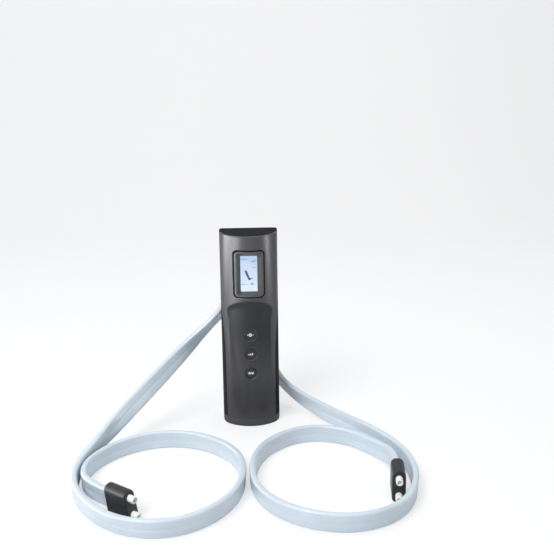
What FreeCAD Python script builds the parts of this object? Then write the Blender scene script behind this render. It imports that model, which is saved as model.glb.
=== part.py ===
"""Hand-held air pump of a leg compression set, with its two ribbon hoses and plugs.

Millimetres, +Z up. The origin is the centre of the case's footprint on the table; the display
faces -Y and the hoses leave the back of the case, which is at +Y.
"""

import FreeCAD
import Part
import math
import os
import re

SIZES = (
    # the case, D-shaped in plan: a bowed front cut off at straight sides, and a flat back
    ("case_width", 62.5),
    ("case_height", 213.8),
    ("case_back", 22.0),
    ("side_flat", 5.0),
    ("front_bow", 39.0),
    ("front_bow_half", 36.0),
    ("corner_radius", 4.0),
    ("wall", 2.2),
    ("cap_height", 3.0),
    ("base_height", 8.0),
    ("floor_thickness", 2.5),
    ("lip_height", 3.0),
    ("lip_wall", 1.4),
    ("fit_gap", 0.15),
    ("seam_foot", -10.5),
    ("seam_head", 2.7),
    # the thumb recess down the front
    ("recess_half", 23.0),
    ("recess_depth", 2.3),
    ("recess_drop", 3.9),
    # the display
    ("window_width", 33.2),
    ("window_height", 51.0),
    ("window_drop", 41.0),
    ("window_gap", 0.3),
    ("bezel_proud", 0.5),
    ("bezel_tab", 3.0),
    ("bezel_tab_half", 13.5),
    ("bezel_rear", -12.7),
    ("glass_width", 24.0),
    ("glass_height", 43.0),
    ("glass_thickness", 1.0),
    ("screen_width", 19.4),
    ("screen_height", 39.4),
    ("screen_flare", 3.4),
    ("panel_thickness", 2.0),
    ("light_thickness", 2.4),
    # the circuit board
    ("board_front", -9.5),
    ("board_thickness", 1.6),
    ("board_half", 14.8),
    ("board_drop", 16.8),
    ("board_foot_margin", 14.0),
    ("post_radius", 2.4),
    ("post_spread", 11.0),
    ("post_rise", 5.0),
    ("post_drop", 8.4),
    ("controller_size", 11.0),
    ("controller_thickness", 1.4),
    ("driver_size", 6.5),
    ("driver_thickness", 1.6),
    ("regulator_width", 7.0),
    ("regulator_length", 9.0),
    ("regulator_thickness", 2.2),
    ("chip_spread", 7.5),
    ("chip_drop", 13.0),
    ("sensor_size", 8.0),
    ("sensor_thickness", 3.0),
    ("sensor_nib_radius", 1.3),
    ("sensor_nib_length", 3.0),
    ("sensor_offset", 8.0),
    ("sensor_drop", 24.8),
    ("pilot_radius", 0.9),
    ("pilot_depth", 4.0),
    ("small_screw_radius", 0.85),
    ("small_head_radius", 1.9),
    ("small_head_height", 1.3),
    # the push buttons
    ("button_radius", 6.5),
    ("button_gap", 0.3),
    ("button_flange", 7.6),
    ("button_flange_thickness", 1.0),
    ("button_flange_front", -15.85),
    ("button_face", -20.1),
    ("button_travel", 0.8),
    ("button_stem_radius", 1.6),
    ("switch_size", 6.0),
    ("switch_height", 2.6),
    ("switch_nib_radius", 1.7),
    ("switch_nib_height", 0.8),
    ("button_drop", 37.4),
    ("button_pitch", 22.0),
    # the diaphragm pump
    ("pump_mid", 6.2),
    ("motor_radius", 12.0),
    ("motor_foot", 28.0),
    ("motor_length", 32.0),
    ("sleeve_thickness", 1.2),
    ("sleeve_inset", 2.0),
    ("saddle_half", 17.0),
    ("saddle_thickness", 2.4),
    ("saddle_rise", 6.0),
    ("shaft_radius", 1.0),
    ("shaft_clearance", 0.05),
    ("shaft_sunk", 16.0),
    ("crank_radius", 6.0),
    ("crank_height", 4.0),
    ("crank_rise", 2.0),
    ("crank_offset", 3.2),
    ("crank_pin_radius", 1.2),
    ("crank_pin_length", 3.0),
    ("drive_radius", 12.4),
    ("drive_height", 15.0),
    ("drive_wall", 1.8),
    ("diaphragm_thickness", 1.6),
    ("cell_radius", 3.2),
    ("cell_depth", 3.0),
    ("cell_ring", 6.0),
    ("head_height", 9.0),
    ("barb_radius", 1.9),
    ("barb_length", 5.5),
    ("tube_clearance", 0.05),
    ("tube_wall", 1.3),
    # the manifold and the two solenoid valves
    ("manifold_half", 20.0),
    ("manifold_foot", 99.0),
    ("manifold_height", 10.0),
    ("manifold_depth", 12.0),
    ("lug_offset", 17.3),
    ("lug_post_radius", 2.5),
    ("lug_hole_radius", 1.5),
    ("lug_screw_radius", 1.4),
    ("lug_head_radius", 2.4),
    ("lug_pilot_radius", 1.45),
    ("lug_bite", 5.0),
    ("valve_offset", 9.2),
    ("valve_width", 12.6),
    ("valve_height", 18.0),
    ("plunger_radius", 2.5),
    ("plunger_clearance", 0.08),
    ("plunger_length", 11.0),
    ("plunger_lift", 1.2),
    ("plunger_rest_gap", 0.1),
    # the air outlet on the back
    ("outlet_block_foot", 170.0),
    ("outlet_block_height", 11.0),
    ("outlet_block_half", 15.0),
    ("outlet_block_front", 1.0),
    ("spigot_radius", 3.6),
    ("spigot_gap", 0.3),
    ("spigot_reach", 4.0),
    ("housing_half", 25.0),
    ("housing_foot", 164.0),
    ("housing_height", 28.0),
    ("housing_depth", 14.0),
    ("housing_wall", 2.0),
    ("boot_offset", 11.25),
    ("boot_length", 11.0),
    ("boot_rim", 1.3),
    ("boot_neck_half", 8.0),
    ("boot_neck_thickness", 5.6),
    ("boot_flange", 1.2),
    ("boot_flange_height", 1.8),
    # the ribbon hoses
    ("hose_width", 18.0),
    ("hose_thickness", 6.0),
    # the plugs
    ("plug_length", 31.0),
    ("plug_top_length", 25.0),
    ("plug_height", 27.5),
    ("plug_thickness", 12.4),
    ("nozzle_radius", 3.3),
    ("nozzle_root_radius", 2.6),
    ("nozzle_bore", 1.7),
    ("nozzle_reach", 6.5),
    ("nozzle_seat", 14.0),
    ("nozzle_low", 5.6),
    ("nozzle_pitch", 15.0),
    ("contact_radius", 0.6),
    ("contact_spread", 3.2),
    ("contact_pocket_half", 3.0),
    ("contact_pocket_height", 3.4),
    ("contact_pocket_depth", 5.0),
    ("contact_sunk", 3.0),
    ("contact_drop", 1.0),
    # the power inlet
    ("inlet_mid", 17.5),
    ("inlet_radius", 2.9),
    ("inlet_depth", 9.5),
    ("inlet_pin_radius", 1.05),
    ("inlet_pin_drop", 1.5),
    ("inlet_neck_radius", 4.9),
    ("inlet_neck_gap", 0.1),
    ("inlet_half", 5.0),
    ("inlet_body_height", 11.0),
    ("inlet_body_depth", 12.0),
    # the screws that close the case
    ("boss_radius", 3.2),
    ("boss_offset", 18.4),
    ("boss_low", 36.0),
    ("boss_meet", 2.0),
    ("screw_radius", 1.4),
    ("screw_clearance", 0.25),
    ("screw_pilot", 1.45),
    ("screw_head_radius", 2.6),
    ("screw_head_height", 2.2),
    ("screw_head_gap", 0.3),
    ("screw_seat", 12.0),
    ("screw_bite", 7.0),
    ("screw_slot_length", 3.6),
    ("screw_slot_width", 0.8),
    # small gaps between pieces, and how far cutters and joined solids run into each other
    ("loose_gap", 0.1),
    ("press_gap", 0.02),
    ("hole_slack", 0.25),
    ("overcut", 1.0),
    ("bury", 0.5),
)

# Hose routes, from the strain relief to the plug: corners of the centre line, chosen by hand.
LEFT_ROUTE = (
    (-14.1, 29.0, 153.4), (-17.85, 29.0, 139.4), (-25.0, 29.5, 124.5), (-36.5, 29.5, 111.0),
    (-57.0, 20.0, 93.0), (-79.0, 4.0, 74.5), (-100.0, -15.0, 57.0), (-120.0, -36.0, 42.0),
    (-137.5, -58.0, 30.0), (-154.5, -83.0, 21.0), (-168.5, -116.0, 12.5), (-165.0, -151.0, 9.1),
    (-142.0, -188.0, 9.1), (-107.0, -212.5, 9.1), (-63.0, -215.5, 9.1), (-25.5, -190.0, 9.1),
    (-7.8, -150.0, 9.1), (-12.5, -105.0, 9.1), (-45.0, -70.0, 9.1), (-92.0, -58.5, 9.1),
    (-134.0, -76.0, 9.1), (-158.0, -107.0, 9.1), (-159.0, -136.0, 10.5), (-147.5, -158.2, 13.2),
    (-128.5, -171.5, 13.2),
)
RIGHT_ROUTE = (
    (14.1, 29.0, 153.4), (17.85, 29.0, 139.4), (19.6, 29.3, 121.0), (20.0, 30.0, 103.0),
    (20.0, 31.0, 85.0), (20.4, 32.0, 67.0), (23.6, 32.5, 49.5), (31.5, 31.0, 34.5),
    (42.5, 24.5, 23.5), (56.0, 12.5, 16.5), (71.0, -3.5, 12.4), (88.5, -22.5, 10.0),
    (109.0, -44.5, 9.1), (133.0, -74.0, 9.1), (150.5, -110.0, 9.1), (152.5, -156.0, 9.1),
    (131.0, -200.0, 9.1), (88.0, -218.5, 9.1), (40.5, -208.0, 9.1), (5.5, -176.0, 9.1),
    (-2.8, -130.0, 9.1), (12.0, -85.0, 9.1), (54.0, -55.5, 9.1), (97.0, -65.0, 9.1),
    (125.5, -94.0, 9.1), (137.5, -122.0, 13.2), (134.5, -144.5, 13.2),
)
ARC_SHARE = 0.45

UP = FreeCAD.Vector(0, 0, 1)
ALIASES = re.compile(r"\b(" + "|".join(name for name, _ in SIZES) + r")\b")

# Places that several pieces share, as formulas over the sheet's values.
SHELL_FOOT = "base_height"
SHELL_HEAD = "(case_height - cap_height)"
BOW_CENTRE = "(case_back - side_flat)"
WINDOW_MID = "(case_height - window_drop)"
RECESS_HEAD = "(case_height - window_drop - window_height / 2 - recess_drop)"
BUTTON_TOP = "(case_height - window_drop - window_height / 2 - recess_drop - button_drop)"
BOARD_FOOT = f"({BUTTON_TOP} - 2 * button_pitch - board_foot_margin)"
BOARD_HEAD = "(case_height - board_drop)"
POST_LOW = f"({BOARD_FOOT} + post_rise)"
POST_HIGH = f"({RECESS_HEAD} - post_drop)"
BOSS_HIGH = f"({WINDOW_MID} + window_height / 2 + boss_radius)"
BOARD_REAR = "(board_front + board_thickness)"
GLASS_FRONT = "(board_front - light_thickness - panel_thickness - glass_thickness)"
SLEEVE_RADIUS = "(motor_radius + sleeve_thickness)"
DRIVE_FOOT = "(motor_foot + motor_length)"
DRIVE_HEAD = "(motor_foot + motor_length + drive_height)"
PUMP_HEAD_FOOT = "(motor_foot + motor_length + drive_height + diaphragm_thickness)"
PUMP_TOP = "(motor_foot + motor_length + drive_height + diaphragm_thickness + head_height)"
MANIFOLD_HEAD = "(manifold_foot + manifold_height)"
MANIFOLD_FRONT = "(pump_mid - manifold_depth / 2)"
MANIFOLD_REAR = "(pump_mid + manifold_depth / 2)"
VALVE_HEAD = "(manifold_foot + manifold_height + valve_height)"
BARB_BORE = "(barb_radius + tube_clearance)"
TUBE_RADIUS = "(barb_radius + tube_clearance + tube_wall)"
BOOT_MID = "(case_back + housing_depth / 2)"
BUTTON_NAMES = ("power", "mode", "heat")
SIDES = (("left", -1), ("right", 1))

doc = FreeCAD.newDocument("CompressionPump")
sheet = doc.addObject("Spreadsheet::Sheet", "Sizes")


def fill_sheet():
    """Write every driving dimension to the sheet, one named cell each."""
    for row, (name, value) in enumerate(SIZES, start=1):
        sheet.set(f"A{row}", name)
        sheet.set(f"B{row}", str(value))
        sheet.setAlias(f"B{row}", name)
    doc.recompute()


def size(name):
    """The value of one named cell."""
    return float(sheet.get(name))


def bind(item, prop, text):
    """Tie a property to a formula over the sheet's values."""
    item.setExpression(prop, ALIASES.sub(r"Sizes.\1", str(text)))


def place(item, x, y, z):
    """Tie an object's position to three formulas."""
    for axis, text in zip("xyz", (x, y, z)):
        bind(item, f".Placement.Base.{axis}", text)


def add(kind, name):
    """A new document object."""
    return doc.addObject(kind, name)


def box(name, x, y, z):
    """A block that spans the given (start, end) formulas on each axis."""
    item = add("Part::Box", name)
    for prop, (start, end) in zip(("Length", "Width", "Height"), (x, y, z)):
        bind(item, prop, f"({end}) - ({start})")
    place(item, x[0], y[0], z[0])
    return item


def rod(name, axis, radius, centre, span):
    """A cylinder along an axis; centre holds the other two coordinates in X, Y, Z order."""
    item = add("Part::Cylinder", name)
    start, end = span
    bind(item, "Radius", radius)
    bind(item, "Height", f"({end}) - ({start})")
    if axis == "z":
        place(item, centre[0], centre[1], start)
    elif axis == "y":
        item.Placement.Rotation = FreeCAD.Rotation(FreeCAD.Vector(1, 0, 0), -90)
        place(item, centre[0], start, centre[1])
    else:
        item.Placement.Rotation = FreeCAD.Rotation(FreeCAD.Vector(0, 1, 0), 90)
        place(item, start, centre[0], centre[1])
    return item


def join(name, *items):
    """Several touching solids made one."""
    item = add("Part::MultiFuse", name)
    item.Shapes = list(items)
    item.Refine = True
    return item


def group(name, *items):
    """Separate solids kept side by side in one piece."""
    item = add("Part::Compound", name)
    item.Links = list(items)
    return item


def cut(name, base, *tools):
    """The base less every tool."""
    item = add("Part::Cut", name)
    item.Base = base
    item.Tool = tools[0] if len(tools) == 1 else join(f"{name}_tools", *tools)
    item.Refine = True
    return item


def common(name, *items):
    """What two solids share."""
    item = add("Part::MultiCommon", name)
    item.Shapes = list(items)
    item.Refine = True
    return item


def nose(name, inset, foot, head):
    """The curved front half of the case's plan, drawn in from the outside by inset."""
    half = f"(case_width / 2 - ({inset}))"
    wide = f"(front_bow_half - ({inset}))"
    bow = f"(front_bow - ({inset}))"
    oval = add("Part::Ellipse", f"{name}_oval")
    bind(oval, "MajorRadius", f"max({wide}; {bow})")
    bind(oval, "MinorRadius", f"min({wide}; {bow})")
    oval.Placement.Rotation = FreeCAD.Rotation(UP, 90)
    bind(oval, ".Placement.Rotation.Angle", f"{wide} > {bow} ? 0 : 90")
    place(oval, 0, BOW_CENTRE, foot)
    solid = add("Part::Extrusion", f"{name}_bow")
    solid.Base = oval
    solid.DirMode = "Custom"
    solid.Dir = UP
    solid.Solid = True
    bind(solid, "LengthFwd", f"({head}) - ({foot})")
    ahead = box(f"{name}_ahead", (f"-{half}", half),
                (f"{BOW_CENTRE} - {bow} - overcut", BOW_CENTRE), (foot, head))
    return common(f"{name}_nose", solid, ahead)


def room(name, inset, back_inset, foot, head):
    """An upright solid of the case's D-shaped plan with square rear corners, for the inside."""
    half = f"(case_width / 2 - ({inset}))"
    back = f"max(case_back - ({back_inset}); {BOW_CENTRE} + 2 * fit_gap)"
    behind = box(f"{name}_behind", (f"-{half}", half), (BOW_CENTRE, back), (foot, head))
    return join(name, nose(name, inset, foot, head), behind)


def plan(name, foot, head):
    """An upright solid of the case's whole D-shaped plan, with its rounded rear corners."""
    half = "(case_width / 2)"
    wide = box(f"{name}_wide", (f"-{half}", half), (BOW_CENTRE, "case_back - corner_radius"),
               (foot, head))
    deep = box(f"{name}_deep", (f"corner_radius - {half}", f"{half} - corner_radius"),
               (BOW_CENTRE, "case_back"), (foot, head))
    corners = []
    for side, sign in SIDES:
        centre = (f"{sign} * ({half} - corner_radius)", "case_back - corner_radius")
        corners.append(rod(f"{name}_{side}_corner", "z", "corner_radius", centre, (foot, head)))
    return join(name, nose(name, "0", foot, head), wide, deep, *corners)


def label(item, name):
    """Name a finished piece; its file takes this name."""
    item.Label = name
    return item


def button_height(index):
    """The height of a button's centre, counted from the top one."""
    return f"({BUTTON_TOP} - {index} * button_pitch)"


def seam_block():
    """Everything behind the sloping plane where the two shells meet."""
    half = "case_width"
    block = box("behind_seam", (f"-{half}", half), ("seam_foot", "seam_foot + 3 * case_back + 40"),
                ("0", "case_height * 1.2"))
    block.Placement.Rotation = FreeCAD.Rotation(FreeCAD.Vector(-1, 0, 0), 2)
    bind(block, ".Placement.Rotation.Angle", "atan((seam_head - seam_foot) / case_height)")
    return block


def boss_places():
    """The four case screws: side sign and height of each."""
    return [(sign, height) for sign in (-1, 1) for height in ("boss_low", BOSS_HIGH)]


def board_places():
    """The four board screws: side sign and height of each."""
    return [(sign, height) for sign in (-1, 1) for height in (POST_LOW, POST_HIGH)]


def front_posts():
    """Board posts and screw bosses on the inside of the front shell, with their pilot holes."""
    low, high, pilots = [], [], []
    far = f"({BOW_CENTRE} - front_bow - overcut)"
    for number, (sign, height) in enumerate(board_places()):
        centre = (f"{sign} * post_spread", height)
        low.append(rod(f"board_post_{number}", "y", "post_radius", centre, (far, "board_front")))
        pilots.append(rod(f"board_pilot_{number}", "y", "pilot_radius", centre,
                          ("board_front - pilot_depth", "board_front + overcut")))
    for number, (sign, height) in enumerate(boss_places()):
        centre = (f"{sign} * boss_offset", height)
        boss = rod(f"front_boss_{number}", "y", "boss_radius", centre, (far, "boss_meet"))
        (low if height == "boss_low" else high).append(boss)
        pilots.append(rod(f"front_pilot_{number}", "y", "screw_pilot", centre,
                          ("boss_meet - screw_bite - overcut", "boss_meet + overcut")))
    low_room = nose("low_post_room", "recess_depth + wall / 2", SHELL_FOOT, SHELL_HEAD)
    high_room = nose("high_post_room", "wall / 2", SHELL_FOOT, SHELL_HEAD)
    low_posts = common("low_posts", join("low_rods", *low), low_room)
    high_posts = common("high_posts", join("high_rods", *high), high_room)
    return low_posts, high_posts, pilots


def recess_tool():
    """The shallow thumb recess: an arch-headed trough of even depth below the curved front."""
    far = f"({BOW_CENTRE} - front_bow - overcut)"
    arch_mid = f"({RECESS_HEAD} - recess_half)"
    arch = rod("recess_arch", "y", "recess_half", ("0", arch_mid), (far, BOW_CENTRE))
    trough = box("recess_trough", ("-recess_half", "recess_half"), (far, BOW_CENTRE),
                 ("base_height - overcut", arch_mid))
    outline = join("recess_outline", arch, trough)
    floor = nose("recess_floor", "recess_depth", "0", "case_height")
    return cut("recess", outline, floor)


def front_shell(outer, seam):
    """The grey cover: a curved wall with the thumb recess, the display window and button holes."""
    blank = cut("front_blank", outer, seam)
    shelf = f"({RECESS_HEAD} + wall)"
    low = nose("front_low_cavity", "recess_depth + wall", "base_height - overcut", shelf)
    high = nose("front_high_cavity", "wall", shelf, "case_height")
    far = f"({BOW_CENTRE} - front_bow - overcut)"
    window = box("window", ("-window_width / 2", "window_width / 2"), (far, "0"),
                 (f"{WINDOW_MID} - window_height / 2", f"{WINDOW_MID} + window_height / 2"))
    holes = []
    for index, name in enumerate(BUTTON_NAMES):
        holes.append(rod(f"{name}_hole", "y", "button_radius + button_gap",
                         ("0", button_height(index)), (far, "0")))
    hollow = cut("front_hollow", blank, low, high, recess_tool(), window, *holes)
    low_posts, high_posts, pilots = front_posts()
    whole = join("front_whole", hollow, low_posts, high_posts)
    return label(cut("front_piece", whole, *pilots), "front_shell")


def rear_shell(outer, seam):
    """The black tub: flat back, screw bosses, pump saddles, manifold posts and back openings."""
    blank = common("rear_blank", outer, seam)
    cavity = room("rear_cavity", "wall", "wall", "base_height - overcut", "case_height")
    hollow = cut("rear_hollow", blank, cavity)
    inside = "(case_back - wall / 2)"
    solids = []
    tools = []
    for number, (sign, height) in enumerate(boss_places()):
        centre = (f"{sign} * boss_offset", height)
        solids.append(rod(f"rear_boss_{number}", "y", "boss_radius + wall / 2", centre,
                          ("boss_meet", inside)))
        tools.append(rod(f"rear_screw_way_{number}", "y", "screw_radius + screw_clearance", centre,
                         ("boss_meet - overcut", "case_back + overcut")))
        tools.append(rod(f"rear_head_way_{number}", "y", "screw_head_radius + screw_head_gap",
                         centre, ("screw_seat", "case_back + overcut")))
    low_saddle = "(motor_foot + saddle_rise)"
    high_saddle = f"({DRIVE_FOOT} - saddle_rise - saddle_thickness)"
    for number, foot in enumerate((low_saddle, high_saddle)):
        solids.append(box(f"saddle_{number}", ("-saddle_half", "saddle_half"), ("pump_mid", inside),
                          (foot, f"{foot} + saddle_thickness")))
    tools.append(rod("saddle_bore", "z", f"{SLEEVE_RADIUS} + fit_gap", ("0", "pump_mid"),
                     ("motor_foot", DRIVE_FOOT)))
    for side, sign in SIDES:
        centre = (f"{sign} * lug_offset", "manifold_foot + manifold_height / 2")
        solids.append(rod(f"{side}_lug_post", "y", "lug_post_radius", centre,
                          (MANIFOLD_REAR, inside)))
        tools.append(rod(f"{side}_lug_pilot", "y", "lug_pilot_radius", centre,
                         (f"{MANIFOLD_REAR} - overcut", f"{MANIFOLD_REAR} + lug_bite + overcut")))
        tools.append(rod(f"{side}_spigot_hole", "y", "spigot_radius + spigot_gap",
                         (f"{sign} * boot_offset", "outlet_block_foot + outlet_block_height / 2"),
                         (inside + " - wall", "case_back + overcut")))
    tools.append(rod("inlet_hole", "y", "inlet_neck_radius + inlet_neck_gap",
                     ("0", "inlet_mid"), (inside + " - wall", "case_back + overcut")))
    whole = join("rear_whole", hollow, *solids)
    return label(cut("rear_piece", whole, *tools), "rear_shell")


def top_cap():
    """The flat black lid on the head of the two shells, with a locating lip below."""
    plate = plan("cap_plate", SHELL_HEAD, "case_height")
    inset = "wall + fit_gap"
    foot = f"({SHELL_HEAD} - lip_height)"
    lip = room("cap_lip", inset, inset, foot, SHELL_HEAD)
    hollow = room("cap_room", f"{inset} + lip_wall", f"{inset} + lip_wall", f"{foot} - overcut",
                  SHELL_HEAD)
    return label(cut("cap_piece", join("cap_whole", plate, lip), hollow), "top_cap")


def base_cap():
    """The foot of the case: a D-shaped tray that closes the shells and stands on the table."""
    plate = plan("base_plate", "0", "base_height")
    inset = "recess_depth + wall + fit_gap"
    back_inset = "wall + fit_gap"
    head = "(base_height + lip_height)"
    lip = room("base_lip", inset, back_inset, "base_height", head)
    hollow = room("base_room", f"{inset} + lip_wall", f"{back_inset} + lip_wall",
                  "floor_thickness", f"{head} + overcut")
    return label(cut("base_piece", join("base_whole", plate, lip), hollow), "base_cap")


def display_bezel():
    """The raised frame round the screen: flush-curved face, flared opening, clip tabs behind."""
    gap = "window_gap"
    half_x = f"(window_width / 2 - {gap})"
    half_z = f"(window_height / 2 - {gap})"
    far = f"({BOW_CENTRE} - front_bow - bezel_proud - overcut)"
    frame = box("bezel_block", (f"-{half_x}", half_x), (far, "bezel_rear"),
                (f"{WINDOW_MID} - {half_z}", f"{WINDOW_MID} + {half_z}"))
    face = nose("bezel_face", "-bezel_proud", "0", "case_height")
    curved = common("bezel_frame", frame, face)
    tab_block = box("bezel_tab_block", ("-bezel_tab_half", "bezel_tab_half"), (far, "bezel_rear"),
                    (f"{WINDOW_MID} - {half_z} - bezel_tab",
                     f"{WINDOW_MID} + {half_z} + bezel_tab"))
    tab = common("bezel_tabs", tab_block, nose("bezel_tab_face", "recess_depth + wall + fit_gap",
                                               "0", "case_height"))
    opening = add("Part::Wedge", "bezel_opening")
    for prop, text in (("Xmin", "-screen_width / 2 - screen_flare"),
                       ("Xmax", "screen_width / 2 + screen_flare"),
                       ("X2min", "-screen_width / 2"), ("X2max", "screen_width / 2"),
                       ("Ymin", "0"), ("Ymax", f"{GLASS_FRONT} - ({far})"),
                       ("Zmin", "-screen_height / 2 - screen_flare"),
                       ("Zmax", "screen_height / 2 + screen_flare"),
                       ("Z2min", "-screen_height / 2"), ("Z2max", "screen_height / 2")):
        bind(opening, prop, text)
    place(opening, "0", far, WINDOW_MID)
    pocket = box("bezel_pocket", (f"-glass_width / 2 - {gap}", f"glass_width / 2 + {gap}"),
                 (GLASS_FRONT, "bezel_rear + overcut"),
                 (f"{WINDOW_MID} - glass_height / 2 - {gap}",
                  f"{WINDOW_MID} + glass_height / 2 + {gap}"))
    whole = join("bezel_whole", curved, tab)
    return label(cut("bezel_piece", whole, opening, pocket), "display_bezel")


def screen_layer(name, front, thickness):
    """One of the flat layers stacked between the bezel and the board."""
    layer = box(f"{name}_block", ("-glass_width / 2", "glass_width / 2"),
                (front, f"{front} + {thickness}"),
                (f"{WINDOW_MID} - glass_height / 2", f"{WINDOW_MID} + glass_height / 2"))
    return label(layer, name)


def screen_layers():
    """Clear window, liquid crystal panel and light guide, front to back."""
    panel_front = f"({GLASS_FRONT} + glass_thickness)"
    light_front = f"({GLASS_FRONT} + glass_thickness + panel_thickness)"
    return [screen_layer("display_window", GLASS_FRONT, "glass_thickness"),
            screen_layer("lcd_panel", panel_front, "panel_thickness"),
            screen_layer("backlight", light_front, "light_thickness")]


def main_board():
    """The circuit board on its four posts, with a hole for each screw."""
    slab = box("board_slab", ("-board_half", "board_half"), ("board_front", BOARD_REAR),
               (BOARD_FOOT, BOARD_HEAD))
    holes = []
    for number, (sign, height) in enumerate(board_places()):
        holes.append(rod(f"board_hole_{number}", "y", "small_screw_radius + hole_slack",
                         (f"{sign} * post_spread", height),
                         ("board_front - overcut", f"{BOARD_REAR} + overcut")))
    return label(cut("board_piece", slab, *holes), "main_board")


def chip(name, middle_x, middle_z, width, length, thickness):
    """One flat part soldered to the back of the board, centred on the given formulas."""
    return box(name, (f"{middle_x} - {width} / 2", f"{middle_x} + {width} / 2"),
               (BOARD_REAR, f"{BOARD_REAR} + {thickness}"),
               (f"{middle_z} - {length} / 2", f"{middle_z} + {length} / 2"))


def board_chips():
    """The controller behind the display, and the pump's driver and regulator lower down."""
    low = f"({POST_HIGH} - chip_drop)"
    chips = (chip("controller", "0", WINDOW_MID, "controller_size", "controller_size",
                  "controller_thickness"),
             chip("driver", "chip_spread", low, "driver_size", "driver_size", "driver_thickness"),
             chip("regulator", "-chip_spread", low, "regulator_width", "regulator_length",
                  "regulator_thickness"))
    return label(group("chips", *chips), "board_chips")


def pressure_sensor():
    """A gauge sensor on the back of the board, with its air nib."""
    middle = f"({WINDOW_MID} - sensor_drop)"
    body = chip("sensor_body", "sensor_offset", middle, "sensor_size", "sensor_size",
                "sensor_thickness")
    nib = rod("sensor_nib", "y", "sensor_nib_radius", ("sensor_offset", middle),
              (f"{BOARD_REAR} + sensor_thickness - bury",
               f"{BOARD_REAR} + sensor_thickness + sensor_nib_length"))
    return label(join("sensor", body, nib), "pressure_sensor")


def tactile_switches():
    """The three switches on the board, one behind each button."""
    switches = []
    for index, name in enumerate(BUTTON_NAMES):
        middle = button_height(index)
        body = box(f"{name}_switch_body", ("-switch_size / 2", "switch_size / 2"),
                   ("board_front - switch_height", "board_front"),
                   (f"{middle} - switch_size / 2", f"{middle} + switch_size / 2"))
        nib = rod(f"{name}_switch_nib", "y", "switch_nib_radius", ("0", middle),
                  ("board_front - switch_height - switch_nib_height",
                   "board_front - switch_height + bury"))
        switches.append(join(f"{name}_switch", body, nib))
    return label(group("switches", *switches), "tactile_switches")


def push_button(index, name):
    """A round key: cap, retaining flange and the stem that meets its switch."""
    centre = ("0", button_height(index))
    flange_rear = "(button_flange_front + button_flange_thickness)"
    stem_end = "(board_front - switch_height - switch_nib_height - button_travel - loose_gap)"
    cap = rod(f"{name}_cap", "y", "button_radius", centre, ("button_face", flange_rear))
    flange = rod(f"{name}_flange", "y", "button_flange", centre,
                 ("button_flange_front", flange_rear))
    stem = rod(f"{name}_stem", "y", "button_stem_radius", centre,
               (f"{flange_rear} - bury", stem_end))
    return label(join(f"{name}_key", cap, flange, stem), f"{name}_button")


def board_screws():
    """The four screws that hold the board to its posts."""
    screws = []
    for number, (sign, height) in enumerate(board_places()):
        centre = (f"{sign} * post_spread", height)
        shank = rod(f"board_shank_{number}", "y", "small_screw_radius", centre,
                    ("board_front - pilot_depth + loose_gap", f"{BOARD_REAR} + bury"))
        head = rod(f"board_head_{number}", "y", "small_head_radius", centre,
                   (BOARD_REAR, f"{BOARD_REAR} + small_head_height"))
        screws.append(join(f"board_screw_{number}", shank, head))
    return label(group("board_screw_set", *screws), "board_screws")


def case_screws():
    """The four long screws that pull the rear shell onto the front one."""
    screws = []
    for number, (sign, height) in enumerate(boss_places()):
        centre = (f"{sign} * boss_offset", height)
        shank = rod(f"case_shank_{number}", "y", "screw_radius", centre,
                    ("boss_meet - screw_bite", "screw_seat + bury"))
        head = rod(f"case_head_{number}", "y", "screw_head_radius", centre,
                   ("screw_seat", "screw_seat + screw_head_height"))
        face = "(screw_seat + screw_head_height)"
        socket = box(f"case_slot_{number}",
                     (f"{centre[0]} - screw_slot_length / 2", f"{centre[0]} + screw_slot_length / 2"),
                     (f"{face} - overcut", f"{face} + overcut"),
                     (f"{height} - screw_slot_width / 2", f"{height} + screw_slot_width / 2"))
        screws.append(cut(f"case_screw_{number}", join(f"case_bolt_{number}", shank, head), socket))
    return label(group("case_screw_set", *screws), "case_screws")


def pump_motor():
    """The motor can, with the bearing hole that the crank's shaft runs in."""
    axis = ("0", "pump_mid")
    can = rod("motor_can", "z", "motor_radius", axis, ("motor_foot", DRIVE_FOOT))
    hole = rod("motor_bearing", "z", "shaft_radius + shaft_clearance", axis,
               (f"{DRIVE_FOOT} - shaft_sunk - loose_gap", f"{DRIVE_FOOT} + overcut"))
    return label(cut("motor_piece", can, hole), "pump_motor")


def motor_sleeve():
    """The soft rubber sleeve that holds the motor quiet in the saddles."""
    axis = ("0", "pump_mid")
    span = ("motor_foot + sleeve_inset", f"{DRIVE_FOOT} - sleeve_inset")
    outside = rod("sleeve_outside", "z", SLEEVE_RADIUS, axis, span)
    inside = rod("sleeve_inside", "z", "motor_radius + press_gap", axis, ("0", "case_height"))
    return label(cut("sleeve_piece", outside, inside), "motor_sleeve")


def drive_cup():
    """The pump's lower housing, a cup on the motor's face that the crank turns in."""
    axis = ("0", "pump_mid")
    cup = rod("cup_outside", "z", "drive_radius", axis, (DRIVE_FOOT, DRIVE_HEAD))
    room = rod("cup_inside", "z", "drive_radius - drive_wall", axis,
               (f"{DRIVE_FOOT} + drive_wall", f"{DRIVE_HEAD} + overcut"))
    hole = rod("cup_hole", "z", "shaft_radius + overcut", axis, (f"{DRIVE_FOOT} - overcut", DRIVE_HEAD))
    return label(cut("cup_piece", cup, room, hole), "pump_drive_housing")


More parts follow.
